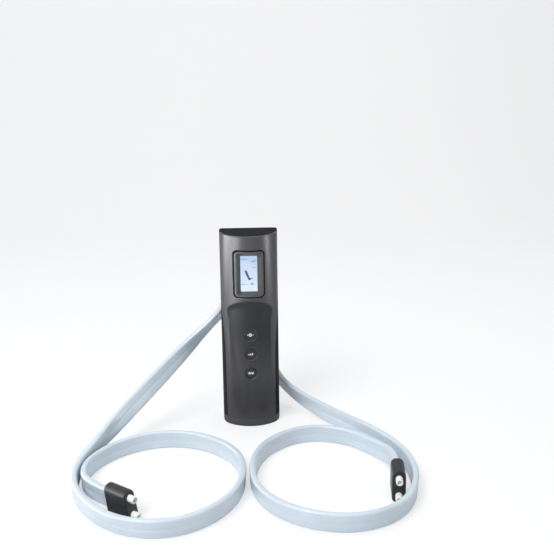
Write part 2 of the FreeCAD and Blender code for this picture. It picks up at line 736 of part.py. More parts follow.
def pump_crank():
    """The motor's shaft with the eccentric that works the diaphragm."""
    disc_foot = f"({DRIVE_FOOT} + drive_wall + crank_rise)"
    disc_head = f"({DRIVE_FOOT} + drive_wall + crank_rise + crank_height)"
    shaft = rod("crank_shaft", "z", "shaft_radius", ("0", "pump_mid"),
                (f"{DRIVE_FOOT} - shaft_sunk", disc_head))
    disc = rod("crank_disc", "z", "crank_radius", ("0", "pump_mid"), (disc_foot, disc_head))
    pin = rod("crank_pin", "z", "crank_pin_radius", ("crank_offset", "pump_mid"),
              (f"{disc_head} - overcut", f"{disc_head} + crank_pin_length"))
    return label(join("crank_piece", shaft, disc, pin), "pump_crank")


def pump_diaphragm():
    """The rubber diaphragm: a disc with three cells that hang into the drive housing."""
    disc = rod("diaphragm_disc", "z", "drive_radius", ("0", "pump_mid"),
               (DRIVE_HEAD, PUMP_HEAD_FOOT))
    cells = []
    for number in range(3):
        angle = math.radians(90 + 120 * number)
        centre = (f"{math.cos(angle):.6f} * cell_ring", f"pump_mid + {math.sin(angle):.6f} * cell_ring")
        cells.append(rod(f"diaphragm_cell_{number}", "z", "cell_radius", centre,
                         (f"{DRIVE_HEAD} - cell_depth", f"{DRIVE_HEAD} + bury")))
    return label(join("diaphragm_piece", disc, *cells), "pump_diaphragm")


def pump_head():
    """The pump's valve head, with the barb that the air leaves by."""
    axis = ("0", "pump_mid")
    block = rod("head_block", "z", "drive_radius", axis, (PUMP_HEAD_FOOT, PUMP_TOP))
    barb = rod("head_barb", "z", "barb_radius", axis,
               (f"{PUMP_TOP} - overcut", f"{PUMP_TOP} + barb_length"))
    return label(join("head_piece", block, barb), "pump_head")


def feed_tube():
    """The soft tube from the pump's barb to the manifold's."""
    axis = ("0", "pump_mid")
    outside = rod("feed_outside", "z", TUBE_RADIUS, axis,
                  (f"{PUMP_TOP} + loose_gap", "manifold_foot - loose_gap"))
    inside = rod("feed_inside", "z", BARB_BORE, axis, ("0", "case_height"))
    return label(cut("feed_piece", outside, inside), "feed_tube")


def air_manifold():
    """The block that shares the pump's air between the two valves, with screw holes."""
    block = box("manifold_block", ("-manifold_half", "manifold_half"),
                (MANIFOLD_FRONT, MANIFOLD_REAR), ("manifold_foot", MANIFOLD_HEAD))
    barb = rod("manifold_barb", "z", "barb_radius", ("0", "pump_mid"),
               ("manifold_foot - barb_length", "manifold_foot + overcut"))
    holes = []
    for side, sign in SIDES:
        centre = (f"{sign} * lug_offset", "manifold_foot + manifold_height / 2")
        holes.append(rod(f"{side}_lug_hole", "y", "lug_hole_radius", centre,
                         (f"{MANIFOLD_FRONT} - overcut", f"{MANIFOLD_REAR} + overcut")))
    return label(cut("manifold_piece", join("manifold_whole", block, barb), *holes), "air_manifold")


def manifold_screws():
    """The two screws through the manifold into the rear shell's posts."""
    screws = []
    for side, sign in SIDES:
        centre = (f"{sign} * lug_offset", "manifold_foot + manifold_height / 2")
        shank = rod(f"{side}_lug_shank", "y", "lug_screw_radius", centre,
                    (f"{MANIFOLD_FRONT} - bury", f"{MANIFOLD_REAR} + lug_bite"))
        head = rod(f"{side}_lug_head", "y", "lug_head_radius", centre,
                   (f"{MANIFOLD_FRONT} - small_head_height", MANIFOLD_FRONT))
        screws.append(join(f"{side}_lug_screw", shank, head))
    return label(group("lug_screw_set", *screws), "manifold_screws")


def valve(side, sign):
    """A solenoid valve body: coil block with a bore for the plunger and a barb on top."""
    middle = f"({sign} * valve_offset)"
    block = box(f"{side}_valve_block",
                (f"{middle} - valve_width / 2", f"{middle} + valve_width / 2"),
                (MANIFOLD_FRONT, MANIFOLD_REAR), (MANIFOLD_HEAD, VALVE_HEAD))
    bore = rod(f"{side}_valve_bore", "z", "plunger_radius + plunger_clearance",
               (middle, "pump_mid"),
               (f"{MANIFOLD_HEAD} - overcut",
                f"{MANIFOLD_HEAD} + plunger_rest_gap + plunger_length + plunger_lift + fit_gap"))
    barb = rod(f"{side}_valve_barb", "z", "barb_radius", (middle, "pump_mid"),
               (f"{VALVE_HEAD} - overcut", f"{VALVE_HEAD} + barb_length"))
    body = cut(f"{side}_valve_piece", join(f"{side}_valve_whole", block, barb), bore)
    return label(body, f"{side}_valve_body")


def plunger(side, sign):
    """The valve's iron plunger, which lifts off its seat when the coil is on."""
    foot = f"({MANIFOLD_HEAD} + plunger_rest_gap)"
    item = rod(f"{side}_plunger_rod", "z", "plunger_radius",
               (f"{sign} * valve_offset", "pump_mid"), (foot, f"{foot} + plunger_length"))
    return label(item, f"{side}_valve_plunger")


def outlet_tube(side, sign):
    """The soft tube from a valve's barb up to the outlet block's."""
    axis = (f"{sign} * valve_offset", "pump_mid")
    outside = rod(f"{side}_tube_outside", "z", TUBE_RADIUS, axis,
                  (f"{VALVE_HEAD} + loose_gap", "outlet_block_foot - loose_gap"))
    inside = rod(f"{side}_tube_inside", "z", BARB_BORE, axis, ("0", "case_height"))
    return label(cut(f"{side}_tube_piece", outside, inside), f"{side}_outlet_tube")


def outlet_block():
    """The inner air block: barbs below and two spigots that pass through the back."""
    inside = "(case_back - wall)"
    parts = [box("outlet_core", ("-outlet_block_half", "outlet_block_half"),
                 ("outlet_block_front", inside),
                 ("outlet_block_foot", "outlet_block_foot + outlet_block_height"))]
    for side, sign in SIDES:
        parts.append(rod(f"{side}_outlet_barb", "z", "barb_radius",
                         (f"{sign} * valve_offset", "pump_mid"),
                         ("outlet_block_foot - barb_length", "outlet_block_foot + overcut")))
        parts.append(rod(f"{side}_spigot", "y", "spigot_radius",
                         (f"{sign} * boot_offset", "outlet_block_foot + outlet_block_height / 2"),
                         (f"{inside} - overcut", "case_back + spigot_reach")))
    return label(join("outlet_whole", *parts), "outlet_block")


def outlet_housing():
    """The shallow box on the back that the hoses leave, open to the spigots and slotted below."""
    head = "(housing_foot + housing_height)"
    block = box("housing_block", ("-housing_half", "housing_half"),
                ("case_back", "case_back + housing_depth"), ("housing_foot", head))
    room = box("housing_room", ("housing_wall - housing_half", "housing_half - housing_wall"),
               ("case_back - overcut", "case_back + housing_depth - housing_wall"),
               ("housing_foot + housing_wall", f"{head} - housing_wall"))
    slots = []
    for side, sign in SIDES:
        middle = f"{sign} * boot_offset"
        slots.append(box(f"{side}_slot",
                         (f"{middle} - boot_neck_half - fit_gap",
                          f"{middle} + boot_neck_half + fit_gap"),
                         (f"{BOOT_MID} - boot_neck_thickness / 2 - fit_gap",
                          f"{BOOT_MID} + boot_neck_thickness / 2 + fit_gap"),
                         ("housing_foot - overcut", "housing_foot + housing_wall + overcut")))
    body = cut("housing_piece", block, room, *slots)
    return label(body, "outlet_housing")


def strain_relief(side, sign, route):
    """The soft boot that guards a hose where it leaves the outlet housing.

    It leans with the hose's first stretch, and its lower face is where the hose's route starts.
    """
    middle = f"{sign} * boot_offset"
    sleeve_x = "(hose_width / 2 + boot_rim)"
    sleeve_y = "(hose_thickness / 2 + boot_rim)"
    sleeve = add("Part::Box", f"{side}_boot_sleeve")
    bind(sleeve, "Length", f"2 * {sleeve_x}")
    bind(sleeve, "Width", f"2 * {sleeve_y}")
    bind(sleeve, "Height", "2 * boot_length")
    start, second = FreeCAD.Vector(*route[0]), FreeCAD.Vector(*route[1])
    turn = FreeCAD.Rotation(UP, start - second)
    sleeve.Placement.Rotation = turn
    across = turn.multVec(FreeCAD.Vector(1, 0, 0))
    place(sleeve, f"{start.x} - {across.x:.6f} * {sleeve_x}", f"{start.y} - {sleeve_y}",
          f"{start.z} - {across.z:.6f} * {sleeve_x}")
    below = box(f"{side}_boot_below", ("-3 * housing_half", "3 * housing_half"),
                ("0", "3 * case_back"), ("0", "housing_foot"))
    lane = ("-3 * housing_half", "0 - fit_gap") if sign < 0 else ("fit_gap", "3 * housing_half")
    own_side = box(f"{side}_boot_lane", lane, ("0", "3 * case_back"), ("0", "case_height"))
    tip = common(f"{side}_boot_tip", sleeve, below, own_side)
    neck = box(f"{side}_boot_neck",
               (f"{middle} - boot_neck_half", f"{middle} + boot_neck_half"),
               (f"{BOOT_MID} - boot_neck_thickness / 2", f"{BOOT_MID} + boot_neck_thickness / 2"),
               ("housing_foot - overcut", "housing_foot + housing_wall + fit_gap + bury"))
    flange = box(f"{side}_boot_flange",
                 (f"{middle} - boot_neck_half - boot_flange",
                  f"{middle} + boot_neck_half + boot_flange"),
                 (f"{BOOT_MID} - boot_neck_thickness / 2 - boot_flange",
                  f"{BOOT_MID} + boot_neck_thickness / 2 + boot_flange"),
                 ("housing_foot + housing_wall + fit_gap",
                  "housing_foot + housing_wall + fit_gap + boot_flange_height"))
    return label(join(f"{side}_boot", tip, neck, flange), f"{side}_strain_relief")


def dc_inlet():
    """The power socket low on the back: body, round neck, open bore and centre pin."""
    centre = ("0", "inlet_mid")
    inside = "(case_back - wall)"
    body = box("inlet_body", ("-inlet_half", "inlet_half"), (f"{inside} - inlet_body_depth", inside),
               ("inlet_mid - inlet_body_height / 2", "inlet_mid + inlet_body_height / 2"))
    neck = rod("inlet_neck", "y", "inlet_neck_radius", centre, (f"{inside} - overcut", "case_back"))
    bore = rod("inlet_bore", "y", "inlet_radius", centre,
               ("case_back - inlet_depth", "case_back + overcut"))
    pin = rod("inlet_pin", "y", "inlet_pin_radius", centre,
              ("case_back - inlet_depth - overcut", "case_back - inlet_pin_drop"))
    shell = cut("inlet_shell", join("inlet_whole", body, neck), bore)
    return label(join("inlet_piece", shell, pin), "dc_inlet")


def corner_path(route):
    """Straight runs joined by tangent arcs, as one wire; also returns the arc radii."""
    points = [FreeCAD.Vector(*point) for point in route]
    edges, radii = [], []
    last = points[0]
    for before, corner, after in zip(points, points[1:], points[2:]):
        arriving = (corner - before).normalize()
        leaving = (after - corner).normalize()
        reach = ARC_SHARE * min(before.distanceToPoint(corner), corner.distanceToPoint(after))
        start = corner - arriving * reach
        end = corner + leaving * reach
        radius = reach / math.tan(arriving.getAngle(leaving) / 2)
        outward = (corner - (start + end) * 0.5).normalize()
        middle = corner - outward * (math.hypot(reach, radius) - radius)
        edges.append(Part.LineSegment(last, start).toShape())
        edges.append(Part.Arc(start, middle, end).toShape())
        radii.append(radius)
        last = end
    edges.append(Part.LineSegment(last, points[-1]).toShape())
    return Part.Wire(edges), radii


def start_upright(route):
    """Which way the ribbon's width points at its start, for it to stand on edge on the table."""
    points = [FreeCAD.Vector(*point) for point in route]
    runs = [(after - before).normalize() for before, after in zip(points, points[1:])]
    width = FreeCAD.Vector(UP)
    for leaving, arriving in zip(reversed(runs), reversed(runs[:-1])):
        width = FreeCAD.Rotation(leaving, arriving).multVec(width)
    return (width - runs[0] * width.dot(runs[0])).normalize()


def ribbon_section(origin, along, width_way):
    """The ribbon's cross-section: two flats joined by half rounds."""
    thin_way = along.cross(width_way).normalize()
    flat = size("hose_width") / 2 - size("hose_thickness") / 2
    half = size("hose_thickness") / 2

    def at(thin, wide):
        return origin + thin_way * thin + width_way * wide

    corners = (at(half, -flat), at(half, flat), at(-half, flat), at(-half, -flat))
    return Part.Wire([
        Part.LineSegment(corners[0], corners[1]).toShape(),
        Part.Arc(corners[1], at(0, flat + half), corners[2]).toShape(),
        Part.LineSegment(corners[2], corners[3]).toShape(),
        Part.Arc(corners[3], at(0, -flat - half), corners[0]).toShape(),
    ])


def hose(side, route):
    """One ribbon hose, swept along its route; prints its length, radii and volume check."""
    path, radii = corner_path(route)
    first = path.Edges[0]
    along = first.tangentAt(first.FirstParameter)
    section = ribbon_section(FreeCAD.Vector(*route[0]), along, start_upright(route))
    maker = Part.BRepOffsetAPI.MakePipeShell(path)
    maker.add(section, False, False)
    maker.build()
    maker.makeSolid()
    item = add("Part::Feature", f"{side}_ribbon")
    item.Shape = maker.shape()
    expected = Part.Face(section).Area * path.Length
    print(f"{side} hose: {path.Length:.0f} mm long, radii",
          " ".join(f"{radius:.0f}" for radius in radii),
          f"volume {item.Shape.Volume / expected:.4f} of section x length")
    return label(item, f"{side}_hose")


def plug_frame(route):
    """Where a plug lies: its hose end at the route's last point, turned along the last run."""
    before, end = FreeCAD.Vector(*route[-2]), FreeCAD.Vector(*route[-1])
    heading = math.degrees(math.atan2(end.y - before.y, end.x - before.x))
    base = FreeCAD.Vector(end.x, end.y, 0)
    return FreeCAD.Placement(base, FreeCAD.Rotation(UP, heading))


def plug(side, route):
    """The plug's moulded body, its two air nozzles and its two contact pins."""
    frame = plug_frame(route)
    half = "plug_thickness / 2"
    wedge = add("Part::Wedge", f"{side}_plug_block")
    for prop, text in (("Xmin", "0"), ("Xmax", "plug_length"), ("X2min", "0"),
                       ("X2max", "plug_top_length"), ("Ymin", "0"), ("Ymax", "plug_height"),
                       ("Zmin", f"-{half}"), ("Zmax", half), ("Z2min", f"-{half}"),
                       ("Z2max", half)):
        bind(wedge, prop, text)
    wedge.Placement.Rotation = FreeCAD.Rotation(FreeCAD.Vector(1, 0, 0), 90)
    slant = "(plug_length - plug_top_length) / plug_height"
    nozzles, ways = [], []
    for level, height in (("low", "nozzle_low"), ("high", "(nozzle_low + nozzle_pitch)")):
        face = f"(plug_length - {slant} * {height})"
        centre = ("0", height)
        ways.append(rod(f"{side}_{level}_way", "x", "nozzle_root_radius + press_gap", centre,
                        ("nozzle_seat", "plug_length + overcut")))
        root = rod(f"{side}_{level}_root", "x", "nozzle_root_radius", centre,
                   ("nozzle_seat", f"{face} + nozzle_reach"))
        collar = rod(f"{side}_{level}_collar", "x", "nozzle_radius", centre,
                     ("nozzle_seat", f"{face} + nozzle_reach"))
        free_end = cut(f"{side}_{level}_free_end", collar, wedge)
        bore = rod(f"{side}_{level}_bore", "x", "nozzle_bore", centre,
                   ("nozzle_seat + overcut", "plug_length + 2 * nozzle_reach"))
        nozzles.append(cut(f"{side}_{level}_nozzle", join(f"{side}_{level}_stem", root, free_end),
                           bore))
    socket = "(nozzle_low + nozzle_pitch / 2)"
    face = f"(plug_length - {slant} * {socket})"
    pocket = box(f"{side}_contact_pocket", (f"{face} - contact_pocket_depth", "plug_length + overcut"),
                 ("-contact_pocket_half", "contact_pocket_half"),
                 (f"{socket} - contact_pocket_height / 2", f"{socket} + contact_pocket_height / 2"))
    pins = []
    for number, sign in enumerate((-1, 1)):
        centre = (f"{sign} * contact_spread / 2", socket)
        foot = f"{face} - contact_pocket_depth - contact_sunk"
        pins.append(rod(f"{side}_contact_{number}", "x", "contact_radius", centre,
                        (foot, f"{face} - contact_drop")))
        ways.append(rod(f"{side}_contact_way_{number}", "x", "contact_radius + press_gap", centre,
                        (foot, f"{face} - contact_drop")))
    body = cut(f"{side}_plug_piece", wedge, pocket, *ways)
    pieces = [label(body, f"{side}_plug"),
              label(group(f"{side}_nozzle_set", *nozzles), f"{side}_plug_nozzles"),
              label(group(f"{side}_contact_set", *pins), f"{side}_plug_contacts")]
    for piece in pieces:
        piece.Placement = frame
    return pieces


def build():
    """Make every piece of the pump and return the finished ones."""
    outer = plan("case_block", SHELL_FOOT, SHELL_HEAD)
    seam = seam_block()
    pieces = [front_shell(outer, seam), rear_shell(outer, seam), top_cap(), base_cap(),
              display_bezel(), *screen_layers(), main_board(), board_chips(), pressure_sensor(),
              tactile_switches(), board_screws(), case_screws()]
    pieces += [push_button(index, name) for index, name in enumerate(BUTTON_NAMES)]
    pieces += [pump_motor(), motor_sleeve(), drive_cup(), pump_crank(), pump_diaphragm(),
               pump_head(), feed_tube(), air_manifold(), manifold_screws()]
    pieces += [outlet_block(), outlet_housing(), dc_inlet()]
    for (side, sign), route in zip(SIDES, (LEFT_ROUTE, RIGHT_ROUTE)):
        pieces += [valve(side, sign), plunger(side, sign), outlet_tube(side, sign),
                   strain_relief(side, sign, route), hose(side, route), *plug(side, route)]
    return pieces


def check(pieces):
    """Stop if any object failed or any finished shape is not sound."""
    for item in doc.Objects:
        if "Invalid" in item.State or "Error" in item.State:
            raise RuntimeError(f"{item.Name} ({item.Label}) failed: {item.State}")
    for piece in pieces:
        if piece.Shape.isNull() or not piece.Shape.isValid() or not piece.Shape.Solids:
            raise RuntimeError(f"{piece.Label} has no sound solid")


def export(pieces):
    """Write one STEP file for each piece, named after it."""
    os.makedirs("parts", exist_ok=True)
    for piece in pieces:
        piece.Shape.exportStep(os.path.join("parts", f"{piece.Label}.step"))
        print(f"{piece.Label}: {len(piece.Shape.Solids)} solid(s), "
              f"{piece.Shape.Volume:.0f} mm3")


fill_sheet()
finished = build()
doc.recompute()
check(finished)
export(finished)
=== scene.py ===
"""Hand-held air pump of a leg compression set: its case, keys, screen, ribbon hoses and plugs.

Sizes inside the classes are millimetres and become metres in the meshes. The display faces -Y.
"""

import logging
import math
from dataclasses import dataclass, field
from enum import Enum

import bmesh
import bpy
import numpy as np
from mathutils import Matrix, Vector


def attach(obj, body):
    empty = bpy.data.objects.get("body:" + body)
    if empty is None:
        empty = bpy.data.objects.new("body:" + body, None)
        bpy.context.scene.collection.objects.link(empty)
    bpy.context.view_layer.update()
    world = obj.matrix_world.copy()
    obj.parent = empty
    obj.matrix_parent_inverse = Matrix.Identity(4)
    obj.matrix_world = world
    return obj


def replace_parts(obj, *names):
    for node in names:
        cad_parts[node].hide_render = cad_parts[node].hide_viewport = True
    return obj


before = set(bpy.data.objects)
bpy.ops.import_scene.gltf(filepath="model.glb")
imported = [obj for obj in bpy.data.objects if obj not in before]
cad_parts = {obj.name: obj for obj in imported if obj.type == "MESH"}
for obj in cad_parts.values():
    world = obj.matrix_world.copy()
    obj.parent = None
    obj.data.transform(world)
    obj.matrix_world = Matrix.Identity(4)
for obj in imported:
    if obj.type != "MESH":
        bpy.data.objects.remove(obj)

MM = 0.001
POLE = 0.01  # the radius in millimetres at which a turned end closes
SHARP = 32.0  # degrees past which an edge is drawn sharp, unless a piece says otherwise
log = logging.getLogger("pump")
Piece = bpy.types.Object
Socket = bpy.types.NodeSocket
Tint = tuple[float, float, float]
Point = tuple[float, float, float]
Pair = tuple[float, float]
WHITE: Tint = (255, 255, 255)


def linear(tint: Tint) -> tuple[float, float, float, float]:
    """A display colour as the renderer's light values.

    A share up to 0.04045 is divided by 12.92. A larger one has 0.055 added, is divided by 1.055
    and is raised to the power 2.4.

    Args:
        tint: red, green and blue from 0 to 255.

    Returns:
        Linear red, green, blue and an alpha of 1.
    """
    share = np.asarray(tint, float) / 255
    light = np.where(share <= 0.04045, share / 12.92, ((share + 0.055) / 1.055) ** 2.4)
    return (float(light[0]), float(light[1]), float(light[2]), 1.0)


def shade(tint: Tint, share: float, lift: float = 0.0) -> Tint:
    """A display colour times a share, plus a lift, held at 255."""
    return tuple(min(255.0, part * share + lift) for part in tint)


def smooth_step(value: np.ndarray) -> np.ndarray:
    """Three t squared less two t cubed, with t held between 0 and 1."""
    held = np.clip(value, 0, 1)
    return held * held * (3 - 2 * held)


def ramp(value: np.ndarray, start: float, run: float) -> np.ndarray:
    """A smooth step from 0 at the start to 1 a run further on; a run below 0 goes downwards."""
    return smooth_step((value - start) / run)


def quarter_turn(points: int) -> np.ndarray:
    """Evenly spaced angles from 0 to a right angle."""
    return np.linspace(0, np.pi / 2, points)


def run_length(points: np.ndarray) -> np.ndarray:
    """Distance run from the first point to each one: the lengths of the steps added up."""
    return np.concatenate([[0], np.cumsum(np.linalg.norm(np.diff(points, axis=0), axis=1))])


def linked(name: str, data: bpy.types.ID) -> Piece:
    """An object at the origin that shows some data, linked to the scene.

    Args:
        name: the object's name.
        data: a mesh, a camera or a light.

    Returns:
        The object.
    """
    piece = bpy.data.objects.new(name, data)
    bpy.context.scene.collection.objects.link(piece)
    return piece


# ---------------------------------------------------------------- meshes


class Sheet:
    """Turns arrays of points into finished mesh objects."""

    @staticmethod
    def grid(rows: int, columns: int, ring: bool) -> np.ndarray:
        """Faces of a grid whose point (i, j) has the number i * columns + j.

        Args:
            rows: points down the grid.
            columns: points along a row.
            ring: whether each row closes on itself.

        Returns:
            One row of four point numbers for each face.
        """
        i, j = np.meshgrid(np.arange(rows - 1), np.arange(columns - (0 if ring else 1)),
                           indexing="ij")
        right = (j + 1) % columns
        return np.stack([i * columns + j, i * columns + right, (i + 1) * columns + right,
                         (i + 1) * columns + j], axis=-1).reshape(-1, 4)

    @staticmethod
    def make(name: str, points: np.ndarray, faces: list[list[int]],
             sharp: float = SHARP) -> Piece:
        """A mesh object at the origin from points in millimetres.

        Args:
            name: the piece's name.
            points: an array of three columns.
            faces: lists of point numbers.
            sharp: the angle in degrees past which an edge is drawn sharp.

        Returns:
            The linked object.
        """
        mesh = bpy.data.meshes.new(name)
        mesh.from_pydata((np.asarray(points, float) * MM).tolist(), [], faces)
        mesh.validate()
        mesh.update()
        mesh.shade_smooth()
        mesh.set_sharp_from_angle(angle=math.radians(sharp))
        return linked(name, mesh)

    @classmethod
    def trimmed(cls, name: str, points: np.ndarray,
                faces: np.ndarray) -> tuple[Piece, np.ndarray]:
        """An open skin of four-sided faces, without the points that none of them uses.

        Args:
            name: the piece's name.
            points: an array of three columns, in millimetres.
            faces: the faces that are kept.

        Returns:
            The linked object, and the numbers of the points that it has.
        """
        used, numbers = np.unique(faces, return_inverse=True)
        piece = cls.make(name, points[used], numbers.reshape(-1, 4).tolist(), sharp=40)
        return piece, used

    @staticmethod
    def outwards(piece: Piece) -> Piece:
        """Turns a closed piece's faces outwards.

        They point outwards where the sum of a . (b x c) over its triangles is positive.

        Args:
            piece: a closed mesh.

        Returns:
            The same piece.
        """
        mesh = piece.data
        mesh.calc_loop_triangles()
        corner = np.zeros(len(mesh.loop_triangles) * 3, np.int32)
        mesh.loop_triangles.foreach_get("vertices", corner)
        place = np.zeros(len(mesh.vertices) * 3)
        mesh.vertices.foreach_get("co", place)
        a, b, c = place.reshape(-1, 3)[corner.reshape(-1, 3)].transpose(1, 0, 2)
        if (a * np.cross(b, c)).sum() < 0:
            mesh.flip_normals()
        return piece

    @classmethod
    def stack(cls, name: str, rings: np.ndarray, loop: bool = False,
              sharp: float = SHARP) -> Piece:
        """A closed solid skinned over rings, with flat ends, or none where the stack loops.

        Args:
            name: the piece's name.
            rings: an array (ring, point on the ring, 3) in millimetres.
            loop: whether the last ring joins the first.
            sharp: the angle past which an edge is sharp.

        Returns:
            The linked object, its faces outwards.
        """
        count, around = rings.shape[:2]
        if loop:
            faces = (cls.grid(count + 1, around, True) % (count * around)).tolist()
        else:
            end = np.arange(around)
            faces = cls.grid(count, around, True).tolist()
            faces += [end[::-1].tolist(), (end + (count - 1) * around).tolist()]
        return cls.outwards(cls.make(name, rings.reshape(-1, 3), faces, sharp))

    @classmethod
    def turned(cls, name: str, profile: np.ndarray, axes: np.ndarray, around: int,
               loop: bool = False) -> Piece:
        """A profile of (radius, height) turned about an axis.

        Each ring is centre + axis * height + radius * (side * cos a + up * sin a).

        Args:
            name: the piece's name.
            profile: an array (n, 2) in millimetres; a first or last radius of POLE closes an end.
            axes: rows of centre, axis, side and up.
            around: points on each ring.
            loop: whether the profile closes on itself, as for a tube.

        Returns:
            The linked object.
        """
        centre, axis, side, up = axes
        angle = np.linspace(0, 2 * np.pi, around, endpoint=False)
        circle = np.cos(angle)[:, None] * side + np.sin(angle)[:, None] * up
        rings = centre + profile[:, 1, None, None] * axis + profile[:, 0, None, None] * circle
        return cls.stack(name, rings, loop)

    @staticmethod
    def inwards(x: float, z: float) -> np.ndarray:
        """The axes for turning about a line that runs along +Y through (x, z)."""
        return np.array([(x, 0, z), (0, 1, 0), (1, 0, 0), (0, 0, 1)], float)

    @classmethod
    def stroke(cls, name: str, path: np.ndarray, width: np.ndarray | float, face: float,
               thick: float) -> Piece:
        """A flat mark: a ribbon of the given width along a path of (x, z), given a thickness.

        Each side is the path moved by half the width across its own direction.

        Args:
            name: the piece's name.
            path: points of (x, z) in millimetres.
            width: the width, for the whole path or at each point.
            face: the y of its front.
            thick: how thick it is.

        Returns:
            The closed mark.
        """
        way = np.gradient(path, axis=0)
        way /= np.linalg.norm(way, axis=1)[:, None]
        half = np.broadcast_to(width, len(path))[:, None] / 2
        side = np.stack([-way[:, 1], way[:, 0]], axis=1) * half
        one, two = path + side, path - side
        back = face + thick
        rings = [np.stack([edge[:, 0], np.full(len(edge), y), edge[:, 1]], axis=1)
                 for edge, y in ((one, face), (two, face), (two, back), (one, back))]
        return cls.stack(name, np.array(rings).transpose(1, 0, 2), sharp=30)

    @staticmethod
    def merged(pieces: list[Piece], name: str) -> Piece:
        """Several pieces joined into one new piece.

        Args:
            pieces: objects at the origin that have no material yet; they are removed.
            name: the joined piece's name.

        Returns:
            The joined object.
        """
        form = bmesh.new()
        for piece in pieces:
            form.from_mesh(piece.data)
        mesh = bpy.data.meshes.new(name)
        form.to_mesh(mesh)
        form.free()
        for piece in pieces:
            bpy.data.objects.remove(piece)
        return linked(name, mesh)

    @staticmethod
    def softened(node: str, name: str, width: float) -> Piece:
        """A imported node's shape with its doubles merged, flats joined and edges bevelled.

        Args:
            node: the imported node.
            name: the new piece's name.
            width: the bevel's width in millimetres.

        Returns:
            The linked copy.
        """
        double, flat, edge = 0.002 * MM, math.radians(1.5), math.radians(35)
        form = bmesh.new()
        form.from_mesh(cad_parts[node].data)
        bmesh.ops.remove_doubles(form, verts=form.verts, dist=double)
        bmesh.ops.dissolve_limit(form, angle_limit=flat, verts=form.verts, edges=form.edges)
        mesh = bpy.data.meshes.new(name)
        form.to_mesh(mesh)
        form.free()
        mesh.shade_smooth()
        mesh.set_sharp_from_angle(angle=math.radians(SHARP))
        piece = linked(name, mesh)
        bevel = piece.modifiers.new("edge", "BEVEL")
        bevel.width = width * MM
        bevel.segments = 2
        bevel.limit_method = "ANGLE"
        bevel.angle_limit = edge
        return piece


# ---------------------------------------------------------------- finishes


class Pattern:
    """A short way to lay out a material's shader nodes."""

    def __init__(self, name: str) -> None:
        """An empty material with its shader.

        Args:
            name: the material's name.
        """
        self.material = bpy.data.materials.new(name)
        self.material.use_nodes = True
        self.tree = self.material.node_tree
        self.shader = self.tree.nodes["Principled BSDF"]

    def give(self, socket: Socket, value: object) -> None:
        """Joins a socket to the value where that is a socket too, and otherwise sets it.

        Args:
            socket: the input.
            value: an output socket, or a plain value.
        """
        if isinstance(value, Socket):
            self.tree.links.new(value, socket)
        else:
            socket.default_value = value

    def node(self, kind: str, **values: object) -> bpy.types.Node:
        """A node of that kind.

        Args:
            kind: the node type's name.
            **values: its properties, and its inputs with in_ before the name and _ for a space.

        Returns:
            The node.
        """
        made = self.tree.nodes.new(kind)
        for key, value in values.items():
            if key.startswith("in_"):
                self.give(made.inputs[key[3:].replace("_", " ")], value)
            else:
                setattr(made, key, value)
        return made

    def surface(self, **values: object) -> bpy.types.Material:
        """Gives the shader's own inputs their sockets and fixed values.

        Args:
            **values: the inputs by name, with _ for a space.

        Returns:
            The finished material.
        """
        for key, value in values.items():
            self.give(self.shader.inputs[key.replace("_", " ")], value)
        return self.material

    def place(self, scale: Point = (1, 1, 1), uv: bool = False) -> Socket:
        """Object or UV coordinates, scaled.

        Args:
            scale: the pattern's scale on each axis.
            uv: whether the piece's own UV map is read.

        Returns:
            The vector socket.
        """
        where = self.node("ShaderNodeTexCoord").outputs["UV" if uv else "Object"]
        return self.node("ShaderNodeMapping", in_Vector=where, in_Scale=scale).outputs["Vector"]

    def height(self) -> Socket:
        """The height on the object, in metres."""
        return self.node("ShaderNodeSeparateXYZ", in_Vector=self.place()).outputs["Z"]

    def noise(self, place: Socket, scale: float, detail: float = 4,
              rough: float = 0.55) -> Socket:
        """Fractal noise from 0 to 1.

        Args:
            place: the coordinates it is laid over.
            scale: how many grains there are to a metre, about.
            detail: how many finer layers are added.
            rough: how strong each finer layer is.

        Returns:
            The value socket.
        """
        return self.node("ShaderNodeTexNoise", in_Vector=place, in_Scale=scale,
                         in_Detail=detail, in_Roughness=rough).outputs["Fac"]

    def spread(self, value: Socket, low: float = 0.3, high: float = 0.7, to_low: float = 0.0,
               to_high: float = 1.0) -> Socket:
        """Carries a value from one range to another, held at its ends.

        Args:
            value: the value socket; noise seldom leaves 0.3 to 0.7.
            low: the start of its range.
            high: the end of its range.
            to_low: what low becomes.
            to_high: what high becomes.

        Returns:
            The value socket.
        """
        return self.node("ShaderNodeMapRange", in_Value=value, in_From_Min=low,
                         in_From_Max=high, in_To_Min=to_low, in_To_Max=to_high).outputs["Result"]

    def blend(self, share: Socket | float, first: Socket | Tint, second: Socket | Tint,
              kind: str = "MIX") -> Socket:
        """Two colours mixed or multiplied.

        Args:
            share: how much of the second is taken.
            first: a display colour or a socket.
            second: a display colour or a socket.
            kind: MIX or MULTIPLY.

        Returns:
            The colour socket.
        """
        made = self.node("ShaderNodeMix", data_type="RGBA", blend_type=kind)
        share_at, first_at, second_at, result_at = 0, 6, 7, 2
        for at, value in ((share_at, share), (first_at, first), (second_at, second)):
            self.give(made.inputs[at], linear(value) if isinstance(value, tuple) else value)
        return made.outputs[result_at]

    def bump(self, height: Socket, strength: float, distance: float) -> Socket:
        """A bump from a height.

        Args:
            height: the value socket.
            strength: its strength from 0 to 1.
            distance: its depth in metres.

        Returns:
            The normal socket.
        """
        return self.node("ShaderNodeBump", in_Height=height, in_Strength=strength,
                         in_Distance=distance).outputs["Normal"]

    def attribute(self, name: str) -> Socket:
        """The mesh's own attribute of that name, as a value."""
        return self.node("ShaderNodeAttribute", attribute_name=name).outputs["Fac"]

    def wear_and_glint_edges(self) -> Socket:
        """About 1 on outer edges and 0 on flats, from pointedness: wear and painted glint go
        there.
        """
        point = self.node("ShaderNodeNewGeometry").outputs["Pointiness"]
        return self.spread(point, 0.52, 0.6)


